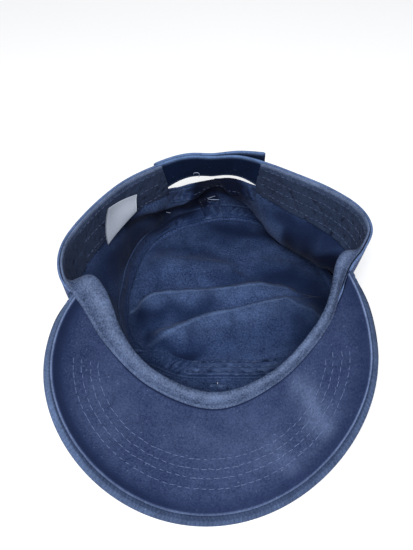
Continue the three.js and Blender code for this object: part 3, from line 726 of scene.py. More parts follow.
def sheet(name, middle, thickness, wear_and_highlight=0.0, dark=0.0, relief=None, closed=False, uv=None, outer_dark=1.0):
    """A closed cloth sheet round a grid of middle points, with rounded borders.

    wear, dark: how much lighter and darker the cloth is painted, for rubbed wear and painted highlights,
    and for painted shade and darker seams.
    outer_dark: share of "dark" that its outer face gets."""
    columns, rows, _ = middle.shape
    normals = grid_normals(middle, closed)
    if relief is not None:
        middle = middle + normals * relief[..., None]
        normals = grid_normals(middle, closed)
    half = np.broadcast_to(np.asarray(thickness, float) / 2, (columns, rows))
    if not closed:
        ends = np.minimum(np.arange(columns), np.arange(columns)[::-1])
        taper = np.where(ends == 0, 0.35, np.where(ends == 1, 0.8, 1.0))
        half = half * taper[:, None]
    # The ring of one column: over the top, round the last border, back below, round the first border.
    turns = [math.pi * (k + 1) / (BORDER_ROUNDS + 1) for k in range(BORDER_ROUNDS)]
    last_out = unit(middle[:, -1] - middle[:, -2])
    first_out = unit(middle[:, 0] - middle[:, 1])
    ring = [(j, normals[:, j]) for j in range(rows)]
    ring += [(rows - 1, normals[:, -1] * math.cos(a) + last_out * math.sin(a)) for a in turns]
    ring += [(j, -normals[:, j]) for j in reversed(range(rows))]
    ring += [(0, first_out * math.sin(a) - normals[:, 0] * math.cos(a)) for a in turns]
    source = np.array([j for j, _ in ring])
    size = len(source)
    points = np.stack([middle[:, j] + outward * half[:, j, None] for j, outward in ring], axis=1)

    if uv is None:
        u, v = arc_lengths(middle, closed)
        uv = np.stack([np.broadcast_to(u[:, None], v.shape), v], axis=-1)
    ring_uv = uv[:, source]
    i, j = grid(np.arange(columns if closed else columns - 1), np.arange(size))
    next_j = (j + 1) % size
    cells = [(i, j), (i + 1, j), (i + 1, next_j), (i, next_j)]
    quads = [np.stack([(a % columns) * size + b for a, b in cells], axis=-1).reshape(-1, 4)]
    corners = [np.stack([ring_uv[a, b] for a, b in cells], axis=-2).reshape(-1, 4, 2)]
    if not closed:
        # Each end is closed between the two halves of its ring.
        upper = (rows + BORDER_ROUNDS // 2 + np.arange(size // 2)) % size
        lower = (rows + BORDER_ROUNDS // 2 - 1 - np.arange(size // 2)) % size
        cap = np.stack([upper[:-1], upper[1:], lower[1:], lower[:-1]], axis=-1)
        for end, turned in ((0, cap[:, ::-1]), (columns - 1, cap)):
            quads.append(end * size + turned)
            corners.append(ring_uv[end][turned])
    wear_and_highlight, dark = (np.broadcast_to(field, (columns, rows))[:, source] for field in (wear_and_highlight, dark))
    dark = dark * np.where(np.arange(size) < rows, outer_dark, 1.0)
    fields = {"wear_and_highlight": wear_and_highlight.ravel(), "dark": dark.ravel()}
    return make_object(name, points.reshape(-1, 3), np.concatenate(quads), np.concatenate(corners), fields)


class Tubes:
    """Thin closed six-sided tubes along paths, gathered into one mesh."""

    sides = 6

    def __init__(self):
        self.points = []
        self.quads = []

    def add(self, centre, normals, radii):
        sides = self.sides
        along = unit(np.gradient(centre, axis=0))
        side = unit(np.cross(along, normals))
        normal = np.cross(side, along)
        base = len(self.points) * sides
        turn = 2 * math.pi * np.arange(sides)[:, None] / sides
        for k, radius in enumerate(radii):
            circle = side[k] * np.cos(turn) + normal[k] * np.sin(turn)
            self.points.append(centre[k] + circle * radius)
        for k in range(len(radii) - 1):
            for m in range(sides):
                a = base + k * sides + m
                b = base + k * sides + (m + 1) % sides
                self.quads.append([a, b, b + sides, a + sides])
        for ring in (0, len(radii) - 1):
            first = base + ring * sides
            self.quads.append([first, first + 1, first + 2, first + 3])
            self.quads.append([first, first + 3, first + 4, first + 5])

    def make(self, name):
        points = np.concatenate(self.points)
        quads = np.array(self.quads)
        return make_object(name, points, quads, points[quads][..., :2], {})


# One stitch, from where it leaves the cloth to where it goes in again.
STITCH_SHARES = np.array([0.0, 0.12, 0.35, 0.65, 0.88, 1.0])
STITCH_WIDTHS = np.array([0.35, 0.85, 1.0, 1.0, 0.85, 0.35])
STITCH_HEIGHTS = np.array([-0.9, 0.2, 0.75, 0.75, 0.2, -0.9])


def stitches(name, rows, pitch, length, radius, seed):
    """Thread stitches along rows of surface points: (points, normals) for each row."""
    tubes = Tubes()
    rng = np.random.default_rng(seed)
    for path, normals in rows:
        travelled = walked(path)
        start = 0.4
        while start + length < travelled[-1]:
            own = length * rng.uniform(0.7, 1.15)
            at = start + own * STITCH_SHARES
            centre, normal = (
                np.stack([np.interp(at, travelled, line[:, k]) for k in range(3)], axis=-1)
                for line in (path, normals)
            )
            normal = unit(normal)
            side = unit(np.cross(np.gradient(centre, axis=0), normal))
            sunk = rng.uniform(-0.55, 0.15)
            centre = centre + normal * ((STITCH_HEIGHTS + sunk) * radius)[:, None]
            drift = rng.normal(0, 0.12) + (STITCH_SHARES - 0.5) * rng.normal(0, 0.3)
            centre = centre + side * drift[:, None]
            tubes.add(centre, normal, radius * STITCH_WIDTHS)
            start += pitch * rng.uniform(0.92, 1.08)
    return tubes.make(name)


# ---------------------------------------------------------------- materials
def colour(r, g, b):
    """Linear colour from sRGB levels."""
    levels = [v / 255 for v in (r, g, b)]
    linear = [v / 12.92 if v <= 0.04045 else ((v + 0.055) / 1.055) ** 2.4 for v in levels]
    return (*linear, 1.0)


class Shader:
    """A material's node tree, with short calls for the nodes that cloth needs."""

    def __init__(self, name):
        self.material = bpy.data.materials.new(name)
        self.material.use_nodes = True
        self.tree = self.material.node_tree
        self.nodes = self.tree.nodes
        self.surface = self.nodes["Principled BSDF"]

    def put(self, target, value):
        if isinstance(value, bpy.types.NodeSocket):
            self.tree.links.new(value, target)
        else:
            target.default_value = value

    def add(self, kind, output, inputs, **settings):
        """A new node's output, with its settings and its inputs' values or links."""
        node = self.nodes.new("ShaderNode" + kind)
        for key, value in settings.items():
            setattr(node, key, value)
        for key, value in inputs.items():
            self.put(node.inputs[key], value)
        return node.outputs[output]

    def place(self):
        return self.add("TexCoord", "Object", {})

    def mapped(self, vector, scale=(1, 1, 1), turn=0.0):
        return self.add("Mapping", "Vector", {"Vector": vector, "Scale": scale, "Rotation": (0, 0, turn)})

    def noise(self, vector, size, detail=3.0, roughness=0.55):
        """Noise whose features are about size millimetres across."""
        inputs = {"Vector": vector, "Scale": 1 / (size * MM), "Detail": detail, "Roughness": roughness}
        return self.add("TexNoise", "Fac", inputs)

    def bands(self, vector, pitch, distortion):
        """Sine bands across X, pitch millimetres apart."""
        inputs = {"Vector": vector, "Scale": 2 * math.pi / (20 * pitch * MM), "Distortion": distortion}
        return self.add("TexWave", "Fac", inputs | {"Detail": 2.0, "Detail Scale": 2.0})

    def maths(self, operation, a, b, clamp=False):
        return self.add("Math", 0, {0: a, 1: b}, operation=operation, use_clamp=clamp)

    def span(self, value, low, high, to_low=0.0, to_high=1.0):
        inputs = {"Value": value, "From Min": low, "From Max": high, "To Min": to_low, "To Max": to_high}
        return self.add("MapRange", "Result", inputs)

    def mix(self, share, a, b):
        return self.add("Mix", "Result", {"Factor": share, "A": a, "B": b}, data_type="RGBA")

    def bump(self, height, distance, strength, **below):
        inputs = {"Strength": strength, "Distance": distance * MM, "Height": height}
        return self.add("Bump", "Normal", inputs | below)

    def finish(self, inputs):
        for key, value in inputs.items():
            self.put(self.surface.inputs[key], value)
        return self.material


def cloth(name, dark, base, paler, mottle=0.3, heather=0.26, twill=0.75, sheen=0.1):
    """Washed cotton twill, darker where the dark field paints shade in creases and hollows, lighter where
    the wear field paints rubbed wear and highlights.
    """
    dark, base, paler = (colour(*levels) for levels in (dark, base, paler))
    s = Shader(name)
    place = s.place()
    weave = s.mapped(s.add("UVMap", "UV", {}, uv_map="weave"), turn=0.9)
    cloud = s.noise(place, 30.0, detail=3.0)
    patch = s.noise(place, 8.0, detail=3.0, roughness=0.5)
    grain = s.noise(place, 1.1, detail=3.0, roughness=0.7)
    threads = s.noise(s.mapped(weave, scale=(1, 0.35, 1)), 0.5, detail=1.0)
    lines = s.bands(weave, twill, distortion=0.8)
    speck = s.span(s.noise(place, 1.3, detail=0.0), 0.78, 0.84)

    light = s.maths("MULTIPLY", s.span(cloud, 0.3, 0.7, -0.5, 0.5), mottle)
    for pattern, low, high, depth in (
        (patch, 0.3, 0.7, mottle * 0.4),
        (grain, 0.3, 0.7, heather),
        (threads, 0.3, 0.7, heather * 0.6),
        (lines, 0.0, 1.0, 0.1),
    ):
        light = s.maths("ADD", light, s.span(pattern, low, high, -depth, depth))
    light = s.maths("ADD", light, 0.5, clamp=True)
    body = s.mix(light, dark, base)
    wear_and_highlight = s.add("Attribute", "Fac", {}, attribute_name="wear_and_highlight")
    rubbed_and_lit = s.maths("MULTIPLY", wear_and_highlight, s.span(grain, 0.25, 0.7, 0.6, 1.3))
    rubbed_and_lit = s.maths("MULTIPLY", rubbed_and_lit, s.span(patch, 0.25, 0.7, 0.7, 1.2))
    rubbed_and_lit = s.maths("ADD", rubbed_and_lit, s.maths("MULTIPLY", speck, 0.3), clamp=True)
    shade = s.mix(rubbed_and_lit, body, paler)
    # The dark field is painted shade in creases, hollows and under folds, with darker seams; deep is
    # near-black painted shadow where it is strongest.
    darkening = s.add("Attribute", "Fac", {}, attribute_name="dark")
    shade = s.mix(s.span(darkening, 0.0, 0.6, 0.0, 0.85), shade, dark)
    deep = (dark[0] * 0.1, dark[1] * 0.18, dark[2] * 0.28, 1.0)
    shade = s.mix(s.span(darkening, 0.4, 1.0, 0.0, 0.95), shade, deep)
    coarse = s.bump(patch, 0.3, 0.4)
    fine = s.bump(lines, 0.12, 0.6, Normal=coarse)
    return s.finish(
        {
            "Base Color": shade,
            "Roughness": s.span(grain, 0.2, 0.8, 0.84, 0.98),
            "Specular IOR Level": 0.15,
            "Sheen Weight": sheen,
            "Sheen Roughness": 0.4,
            "Sheen Tint": (0.45, 0.55, 0.9, 1.0),
            "Normal": s.bump(grain, 0.22, 0.6, Normal=fine),
        }
    )


def thread_material(name, tone, darker):
    s = Shader(name)
    twist = s.noise(s.place(), 0.5, detail=1.0)
    tone, darker = colour(*tone), colour(*darker)
    return s.finish(
        {
            "Base Color": s.mix(s.span(twist, 0.35, 0.65), darker, tone),
            "Roughness": 0.7,
            "Sheen Weight": 0.15,
            "Normal": s.bump(twist, 0.1, 0.6),
        }
    )


def floor_material():
    s = Shader("floor_paper")
    cloud = s.noise(s.place(), 300.0, detail=1.0)
    white = colour(255, 255, 255)
    return s.finish(
        {
            "Base Color": s.mix(s.span(cloud, 0.3, 0.7), colour(252, 252, 253), white),
            "Roughness": 0.9,
            "Emission Color": white,
            "Emission Strength": 0.22,
        }
    )


CROWN = cloth("crown_twill", (11, 29, 63), (67, 87, 130), (120, 146, 192), heather=0.42)
UNDER = cloth("visor_twill", (21, 35, 69), (63, 76, 113), (120, 139, 178), heather=0.34)
EDGE = cloth("visor_edge_twill", (22, 32, 56), (48, 62, 94), (110, 132, 172), sheen=0.04)
BAND_TWILL = cloth(
    "sweatband_twill", (28, 40, 64), (86, 102, 136), (130, 148, 184), mottle=0.36, heather=0.44
)
STRAP_TWILL = cloth("strap_twill", (1, 15, 42), (8, 29, 63), (96, 122, 166), sheen=0.02)
LABEL_SATIN = cloth(
    "label_satin",
    (160, 168, 184),
    (190, 197, 211),
    (214, 220, 232),
    mottle=0.2,
    heather=0.08,
    twill=0.5,
)
THREAD = thread_material("thread", (100, 118, 160), (70, 86, 126))
THREAD_PALE = thread_material("thread_pale", (178, 194, 222), (150, 168, 204))
THREAD_DARK = thread_material("thread_dark", (80, 98, 138), (46, 60, 96))


# ---------------------------------------------------------------- pieces
ROLLING = Waves(seed=3, shortest=26, longest=90)
RIPPLE = Waves(seed=7, shortest=7, longest=22)
CRUMPLE = Waves(seed=11, shortest=3.5, longest=9)
# The finished pieces by name.
MADE = {}


def finish_piece(obj, material, nodes):
    obj.data.materials.append(material)
    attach(obj, "root")
    if nodes:
        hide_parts(*nodes)
    MADE[obj.name] = obj


def crown_relief(points):
    return 0.6 * ROLLING(points) + 0.15 * RIPPLE(points)


def crown_top():
    """A square grid spread over the oval."""
    a, b = grid(np.linspace(-1, 1, 150), np.linspace(-1, 1, 150))
    reach = np.maximum(np.abs(a), np.abs(b))
    safe = np.maximum(reach, 1e-6)
    sides = [b <= -reach, a >= reach, b >= reach]
    turn = np.select(sides, [a / safe, 2 + b / safe, 4 - a / safe], 6 - b / safe)
    middle = top_point(turn * COUNT / 8, reach)
    uv = middle[..., :2]
    spread = unit(middle - TOP_MIDDLE) * np.where(reach > 0.999, 0.5, 0.0)[..., None]
    middle = middle + spread * [1, 1, 0]
    height = middle[..., 2] - CLOTH / 2
    relief = np.maximum(crown_relief(middle) * smooth(1 - reach, 0.0, 0.12), -height)
    plane = middle[..., :2]
    # Lighter on the raised folds and along their crests: painted highlight, partly rubbed wear. TOP_SHADES
    # paints shade in the creases.
    wear_and_highlight = 0.12 * smooth(height, 2.0, 9.0)
    for path, *_ in TOP_FOLDS[:3]:
        wear_and_highlight = np.maximum(wear_and_highlight, 0.34 * bell(near_path(plane, path)[0], 1.3))
    return sheet("crown_top_cloth", middle, CLOTH, wear_and_highlight, shaded(plane, TOP_SHADES), relief, uv=uv)


def wall_half(name, start, end):
    """Half of the wall, whose rim drops to the arch between the strap's ends."""
    fine = list(np.arange(start, end + 1e-6, 0.045))
    drop = 0.03
    for jump in (INDEX["strap_right"], INDEX["strap_left"]):
        fine += [jump + step for step in (-drop, -drop / 2, 0.0, drop / 2, drop)]
    places = np.unique(np.clip(np.round(fine, 4), start, end))
    right = smooth(places, INDEX["strap_right"] - drop, INDEX["strap_right"] + drop)
    left = 1 - smooth(places, INDEX["strap_left"] - drop, INDEX["strap_left"] + drop)
    top = lerp(1.0, up_below_rim(places, arch_depth(places)), right * left)
    up = top[:, None] * even(84)[None, :]
    place = np.broadcast_to(places[:, None], up.shape)
    middle = wall_point(place, up)
    fold = wall_fold(place, up)
    fade = smooth(up, 0.0, 0.12) * smooth(1 - up, 0.0, 0.5)
    relief = crown_relief(middle) * fade - fold
    # Lighter at the rim for rubbed wear and a little on the inward folds as painted highlight; the dark
    # field is painted shade, mostly kept off the outer face.
    wear_and_highlight = 0.45 * smooth(up, 0.98, 1.0) + 0.03 * fold
    return sheet(name, middle, CLOTH, wear_and_highlight, wall_shade(place, up), relief, outer_dark=0.1)


def seam_tape():
    columns = 460
    place, share = grid(np.arange(columns) / columns * COUNT, even(16))
    distance = tape_start(place) + TAPE.width * share
    middle = cornered_tape(place, distance)
    inner = smooth(share, 0.0, 0.25) * smooth(1 - share, 0.0, 0.25)
    relief = pucker(place, distance) * inner
    seams = bell(share - 0.1, 0.05) + bell(share - 0.9, 0.05)
    # Painted shade in the gathers' hollows and from WALL_SHADES, painted highlight on their crests; the
    # seam lines are darker stitching lines.
    dark = 0.2 + wall_shade(place, share * 0.2) + 0.8 * np.maximum(-relief, 0) + 0.25 * seams
    wear_and_highlight = 0.35 * np.maximum(relief, 0) + 0.12 * bell(share - 1, 0.05)
    return sheet("seam_tape_cloth", middle, TAPE_CLOTH, wear_and_highlight, dark, -relief, closed=True)


def front_tape():
    place, share = grid(np.linspace(TAPE.overlap_from, TAPE.overlap_to, 90), even(14))
    middle = tape_point(place, lerp(TAPE.overlap_outer, TAPE.overlap_inner, share))
    middle[..., 2] += TAPE_CLOTH + GAP
    relief = 0.22 * CRUMPLE(middle)
    seams = bell(share - 0.12, 0.05) + bell(share - 0.5, 0.04) + bell(share - 0.88, 0.05)
    # Painted shade in the crumples' hollows, painted highlight on their crests, darker seam lines.
    dark = 0.2 + 0.45 * seams + 0.3 * np.maximum(-relief, 0)
    return sheet("front_tape_cloth", middle, TAPE_CLOTH, 0.1 + 0.4 * np.maximum(relief, 0), dark, relief)


def wall_lining(name, place, up, share, reach=0.0, darkening=0.2):
    """A thin strip or binding on the wall. share: 0 to 1 across it; reach: how far it stands off."""
    middle = on_lining(place, up, CLOTH / 2 + GAP + TAPE_CLOTH / 2 + reach)
    gathered = CRUMPLE(middle)
    # Painted highlight on the crumples' crests, painted shade in their hollows and from WALL_SHADES, over
    # an even darker tone for the whole strip.
    wear_and_highlight = 0.2 * bell(share, 0.06) + 0.12 * np.maximum(gathered, 0)
    dark = darkening + wall_shade(place, up) + 0.1 * np.maximum(-gathered, 0)
    return sheet(name, middle, TAPE_CLOTH, wear_and_highlight, dark, 0.22 * gathered)


def front_strip():
    place, share = grid(lerp(-STRIP.half, STRIP.half, even(14)), even(36))
    up = lerp(STRIP.low, STRIP.high, share)
    return wall_lining("front_seam_strip_cloth", place, up, share, darkening=0.0)


def back_strip():
    """The strip over the centre-back seam, with its loose lower flap."""
    place, share = grid(lerp(BACK_STRIP.start, BACK_STRIP.end, even(22)), even(48))
    up = lerp(BACK_STRIP.low, BACK_STRIP.high, share) + 0.012 * np.sin(9 * place)
    return wall_lining("back_seam_strip_cloth", place, up, share, GAP + BACK_STRIP.lift)


def arch_binding():
    start = INDEX["strap_right"] + ARCH.binding_end
    end = INDEX["strap_left"] - ARCH.binding_end
    place, share = grid(lerp(start, end, even(110)), even(12))
    up = up_below_rim(place, arch_depth(place) + ARCH.binding_edge + ARCH.binding * (1 - share))
    return wall_lining("arch_binding_cloth", place, up, share, GAP)


def sweatband():
    start = INDEX["strap_left"] - COUNT - BAND.over_strap
    end = INDEX["strap_right"] + BAND.over_strap
    place, down = grid(np.linspace(start, end, 520), np.linspace(1, 0, 34))
    middle = band_point(place, down)
    rolled = roll_share(place)
    wear_and_highlight = (0.5 - 0.35 * rolled) * bell(down - 0.02, 0.035) + 0.25 * rolled * bell(down - 0.3, 0.12)
    # Painted shade on the hanging sides and in the creases; the seam rows are darker stitching lines.
    dark = 0.5 * (1 - rolled) * smooth(down, 0.03, 0.2)
    seams = bell(down - 0.09, 0.018) + bell(down - 0.42, 0.02) * rolled
    creases = np.maximum(-CRUMPLE(middle), 0) * smooth(down, 0.1, 0.3) * (1 - 0.85 * rolled)
    dark = np.maximum(dark, (0.3 - 0.2 * rolled) * seams + 0.35 * creases)
    relief = (0.3 - 0.18 * rolled) * seams + 0.45 * creases
    return sheet("sweatband_cloth", middle, BAND_CLOTH, wear_and_highlight, dark, relief)


def visor_grid(reaches, inset_at, root=RIM_INSET):
    """Places across and along the visor. root: how far outside the rim it begins."""
    start = INDEX["corner_right"] + VISOR.corner_right
    end = INDEX["corner_left"] - COUNT - VISOR.corner_left
    shares = even(VISOR_COLUMNS)
    place = lerp(start, end, shares)
    rim = rim_at(place) + out_of(rim_at, place) * root - VISOR_ROOT
    inner_across = rim[:, 0]
    inner_along = rim @ VISOR_DOWN
    angle = np.radians(lerp(VISOR.angle_right, -VISOR.angle_left, shares))
    outer_across, outer_along = visor_outer(angle, inset_at(angle))
    # The two edges stay a little apart at the corners.
    least = np.abs(inner_across) + VISOR.corner_width
    short = outer_along < inner_along + 4
    pushed = np.sign(inner_across) * np.maximum(np.abs(outer_across), least)
    outer_across = np.where(short, pushed, outer_across)
    reach = np.asarray(reaches)[None, :]
    return (
        lerp(inner_across[:, None], outer_across[:, None], reach),
        lerp(inner_along[:, None], outer_along[:, None], reach),
    )


def visor_under():
    reaches = even(92)
    across, along = visor_grid(reaches, rolled_width, -0.2)
    middle = visor_point(across, along, -VISOR.under_cloth / 2)
    inset, angle = visor_inset(across, along)
    from_edge = inset - rolled_width(angle)
    # The ridge runs on round the corners to the crown.
    edge = walked(np.stack([across[:, -1], along[:, -1]], axis=-1))[:, None]
    from_edge = np.minimum(from_edge, np.minimum(edge, edge[-1] - edge))
    ridge = bell(from_edge - 0.3, 0.35)
    border = smooth(from_edge, 0.6, 1.6) * (1 - smooth(from_edge, 2.0, 12.0))
    border = border * lerp(1.5, 1.0, smooth(across, -60, 0))
    paler = shaded(np.stack([across, along], axis=-1), VISOR_WORN) * smooth(from_edge, 3.0, 10.0)
    # root: painted shadow of the sweatband's roll along the visor's root. border: a darker band just
    # inside the ridge, half as dark again on the left.
    root = 1 - smooth(reaches[None, :], 0.035, 0.065)
    wear_and_highlight = np.maximum(0.75 * ridge, paler)
    dark = 0.4 * border + 0.8 * root
    return sheet("visor_under_cloth", middle, VISOR.under_cloth, wear_and_highlight, dark, 0.25 * ridge)


def visor_top():
    reaches = np.concatenate([np.linspace(0, 0.86, 24), np.linspace(0.88, 1.0, 30)])
    radius = 2.2
    across, along = visor_grid(reaches, lambda angle: radius + 0 * angle)
    inset, angle = visor_inset(across, along)
    flat = -(VISOR.under_cloth + GAP)
    beyond = smooth(rolled_width(angle) - inset, -0.1, 0.9)
    bottom = np.full(across.shape, flat - VISOR.board)
    top = lerp(flat, 2 * radius + flat - VISOR.board, beyond)
    # The board ends before the corners, where the edge is only folded cloth.
    to_corner = even(VISOR_COLUMNS)[:, None]
    thin = smooth(np.minimum(to_corner, 1 - to_corner), 0.0, 0.06)
    bottom = lerp(top - 1.6, bottom, thin)
    middle = visor_point(across, along, (top + bottom) / 2)
    # Painted shade in the groove inside the rolled edge; lit is a painted highlight along its outermost
    # line, strongest on the left side.
    outermost = bell(inset - radius + 0.2, 0.45)
    groove = bell(rolled_width(angle) - inset - 0.1, 0.6)
    ribs = 0.5 + 0.5 * np.sin(angle * VISOR.outer_half_width * 2 * np.pi / 2.4 + inset * 1.5)
    lit = lerp(0.5, 0.15, (1 + np.sin(angle)) / 2) * (1 - 0.6 * np.maximum(np.cos(angle), 0))
    wear_and_highlight = 0.05 + 0.14 * ribs * beyond + lit * outermost
    return sheet("visor_top_cloth", middle, top - bottom, wear_and_highlight, groove)


def strap(name, start, out_at):
    """An end of the strap. start: how far past the arch's right corner; out_at: how far off the wall."""
    share, edge = grid(even(90), even(30))
    place = lerp(INDEX["strap_right"] + start, INDEX["strap_left"] - STRAP.end_gap, share)
    up = up_below_rim(place, STRAP.height * (1 - edge))
    wear_and_highlight = bell(edge - 1, 0.06) * 0.9 + bell(edge, 0.05) * 0.4
    return sheet(name, within_wall(place, up, -out_at(share)), STRAP.thickness, wear_and_highlight)


def strap_inner():
    return strap("strap_inner_cloth", STRAP.end_gap, np.zeros_like)


def flared(share):
    """How far the outer end stands off: its cut end most."""
    return STRAP.thickness + GAP + STRAP.flare * (1 - share) ** STRAP.sharpness


def strap_outer():
    return strap("strap_outer_cloth", STRAP.cut_back, flared)


def care_label():
    s, t = grid(even(30), even(30))
    low = lerp(LABEL.back_low, LABEL.fore_low, s)
    high = lerp(LABEL.back, LABEL.fore, s)
    place = lerp(low, high, t)
    top = lerp(LABEL.back_top, LABEL.fore_top, s)
    bottom = lerp(LABEL.back_bottom, LABEL.fore_bottom, s)
    up = up_below_rim(place, lerp(bottom, top, t))
    hang = LABEL.hang * smooth(1 - t, 0.1, 1.0) + 0.25 * np.sin(5 * s + 2 * t)
    inset = BAND_INSET + BAND_CLOTH / 2 + GAP + LABEL.thickness / 2 + hang
    return sheet("care_label_cloth", on_lining(place, up, inset), LABEL.thickness)


for material, slot, node, make in (
    (CROWN, "crown_cloth", "crown_top", crown_top),
    (CROWN, "crown_cloth", "wall_right", lambda: wall_half("wall_right_cloth", 0.0, 12.0)),
    (CROWN, "crown_cloth", "wall_left", lambda: wall_half("wall_left_cloth", 12.0, 22.0)),
    (CROWN, "crown_cloth", "seam_tape", seam_tape),
    (CROWN, "crown_cloth", "front_tape", front_tape),
    (CROWN, "crown_cloth", "front_seam_strip", front_strip),
    (CROWN, "crown_cloth", None, back_strip),
    (CROWN, "crown_cloth", "arch_binding", arch_binding),
    (BAND_TWILL, "sweatband_cloth", "sweatband", sweatband),
    (UNDER, "visor_cloth", "visor_under", visor_under),
    (EDGE, "visor_cloth", "visor_top", visor_top),
    (STRAP_TWILL, "strap_cloth", "strap_inner", strap_inner),
    (STRAP_TWILL, "strap_cloth", "strap_outer", strap_outer),
    (LABEL_SATIN, "label_cloth", "care_label", care_label),
):
    finish_piece(make(), material, [node] if node else [])


def visor_row(side, tip):
    angle = np.radians(np.linspace(-92, 92, 400))
    inset = side + (tip - side) * np.maximum(np.cos(angle), 0) ** 1.35
    across, along = visor_outer(angle, inset)
    return visor_point(across, along, 0.0), visor_normal(across)


rows = [visor_row(side, tip) for side, tip in VISOR_ROWS]
thread = stitches("visor_stitching", rows, pitch=4.4, length=3.7, radius=0.18, seed=1)
finish_piece(thread, THREAD, [])


def band_row(start, end, down):
    place = np.linspace(start, end, 160)
    down = np.full(place.shape, down)
    normals = -wall_normal(place, up_below_rim(place, down * BAND.height))
    return band_point(place, down) + normals * BAND_CLOTH / 2, normals


rows = [band_row(5.2, 9.95, down) for down in (0.16, 0.39, 0.62, 0.87)]
rows += [band_row(-7.85, -5.6, down) for down in (0.16, 0.5, 0.87)]
thread = stitches("sweatband_stitching", rows, pitch=4.0, length=3.1, radius=0.17, seed=2)
finish_piece(thread, THREAD_DARK, [])


def lining_row(place, up, inset):
    return on_lining(place, up, inset), -wall_normal(place, up)


def binding_row(start, end, below):
    place = np.linspace(start, end, 160)
    return lining_row(place, up_below_rim(place, arch_depth(place) + below), ON_TAPE)


def tape_row(start, end, distance):
    place = np.linspace(start, end, 200)
    middle = cornered_tape(place, np.full(place.shape, distance))
    beside = cornered_tape(place, np.full(place.shape, distance + 0.5))
    along = np.gradient(middle, axis=0)
    normals = unit(np.cross(along, beside - middle))
    return middle + normals * TAPE_CLOTH / 2, normals


def strip_row(start, end):
    """A row on the strip over the back seam, between two points (place, up)."""
    place, up = np.linspace(start, end, 60).T
    return lining_row(place, up, ON_TAPE + BACK_STRIP.lift)


def front_tape_row(distance):
    place = np.linspace(TAPE.overlap_from + 0.04, TAPE.overlap_to - 0.04, 120)
    middle = tape_point(place, np.full(place.shape, distance))
    middle[..., 2] += TAPE_CLOTH * 1.5 + GAP
    return middle, np.broadcast_to(UPWARD, middle.shape)


rows = [binding_row(INDEX["strap_right"] + 0.2, INDEX["strap_left"] - 0.2, 7.5)]
rows += [front_tape_row(distance) for distance in (-12.3, -8.4, -4.0)]
rows += [tape_row(4.2, 17.8, 14.2), tape_row(4.2, 17.8, 4.4)]
rows += [strip_row((12.05, 0.465), (12.6, 0.475)), strip_row((12.05, 0.37), (12.6, 0.38))]
rows += [strip_row((12.07, 0.46), (12.06, 0.12)), strip_row((12.56, 0.46), (12.58, 0.12))]
rows += [strip_row((12.2, 0.42), (12.45, 0.42)), strip_row((12.32, 0.45), (12.33, 0.39))]
thread = stitches("crown_stitching", rows, pitch=3.6, length=2.7, radius=0.15, seed=4)
finish_piece(thread, THREAD_DARK, [])


def loose_thread(knots):
    """A thread end that curls off the cloth: knots of (place, up, height off the wall)."""
    place, up, lift = np.array(knots, float).T
    points = on_lining(place, up, lift)
    ends = np.concatenate([[2 * points[0] - points[1]], points, [2 * points[-1] - points[-2]]])
    return spline(np.broadcast_to(ends, (THREAD_SAMPLES, *ends.shape)), even(THREAD_SAMPLES))


tubes = Tubes()
for knots in LOOSE_THREADS:
    centre = loose_thread(knots)
    radii = THREAD_RADIUS * np.sqrt(np.sin(np.linspace(0.15, math.pi - 0.15, THREAD_SAMPLES)))
    tubes.add(centre, np.broadcast_to(UPWARD, centre.shape), radii)
finish_piece(tubes.make("thread_ends"), THREAD_PALE, [])


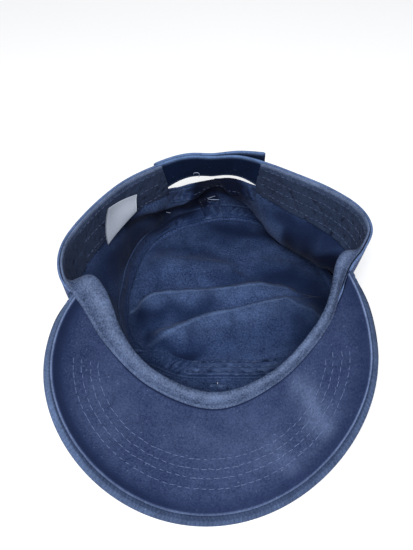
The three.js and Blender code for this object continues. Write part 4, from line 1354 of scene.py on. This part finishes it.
# Each cloth piece, how it is held, what it rests on and what is sewn on it; the loop only looks the pieces
# up.
for name, held, rests_on, sewn_on in (
    ("crown_top", "laid", [], []),
    ("wall_right", "folded", ["crown_top"], ["sweatband_stitching"]),
    ("wall_left", "folded", ["crown_top"], []),
    ("seam_tape", "gathered", ["crown_top"], ["crown_stitching"]),
    ("front_tape", "laid", ["crown_top"], []),
    ("front_seam_strip", "hung", ["wall_right"], []),
    ("back_seam_strip", "hung", ["wall_left"], ["thread_ends"]),
    ("arch_binding", "folded", ["wall_left"], []),
    ("sweatband", "folded", ["wall_right", "wall_left"], []),
    ("visor_under", "stretched", ["visor_top"], ["visor_stitching"]),
    ("strap_inner", "stretched", ["wall_right", "wall_left"], []),
    ("strap_outer", "stretched", ["strap_inner"], []),
    ("care_label", "hung", ["sweatband"], []),
):
    rests_on = [MADE[other + "_cloth"] for other in rests_on]
    sewn_on = [MADE[other] for other in sewn_on]


# ---------------------------------------------------------------- floor, light and camera
bpy.ops.mesh.primitive_plane_add(size=6, location=(0, 0, 0))
floor = bpy.context.object
floor.name = "floor"
floor.data.materials.append(floor_material())

world = bpy.data.worlds.new("studio")
bpy.context.scene.world = world
world.use_nodes = True
background = world.node_tree.nodes["Background"]
background.inputs["Color"].default_value = (0.95, 0.97, 1.0, 1.0)
background.inputs["Strength"].default_value = 0.3


def area_light(name, place, aim, size, power):
    data = bpy.data.lights.new(name, "AREA")
    data.shape = "RECTANGLE"
    data.size = size[0]
    data.size_y = size[1]
    data.energy = power
    light = bpy.data.objects.new(name, data)
    bpy.context.collection.objects.link(light)
    light.location = place
    direction = Vector(aim) - Vector(place)
    light.rotation_euler = direction.to_track_quat("-Z", "Y").to_euler()


area_light("key", place=(-0.1, -1.05, 1.3), aim=(0, 0, 0.03), size=(0.8, 0.6), power=30)

AIM = Vector(PLACE) + Vector((0.0, 24.5, 70.4))
DISTANCE = 450.0
ELEVATION = math.radians(44.0)
AZIMUTH = math.radians(-1.0)
ROLL = math.radians(-1.5)
back = Vector(
    (
        math.sin(AZIMUTH) * math.cos(ELEVATION),
        -math.cos(AZIMUTH) * math.cos(ELEVATION),
        math.sin(ELEVATION),
    )
)
level = (-back).cross(Vector((0, 0, 1))).normalized()
upward = level.cross(-back)
camera_x = level * math.cos(ROLL) + upward * math.sin(ROLL)
camera_y = upward * math.cos(ROLL) - level * math.sin(ROLL)
camera_data = bpy.data.cameras.new("camera")
camera_data.lens = 50.07
camera_data.sensor_width = 36.0
camera_data.clip_start = 0.01
camera = bpy.data.objects.new("camera", camera_data)
bpy.context.collection.objects.link(camera)
turned = Matrix((camera_x, camera_y, back)).transposed().to_4x4()
camera.matrix_world = Matrix.Translation((AIM + back * DISTANCE) * MM) @ turned
bpy.context.scene.camera = camera
bpy.context.scene.view_settings.view_transform = "Standard"
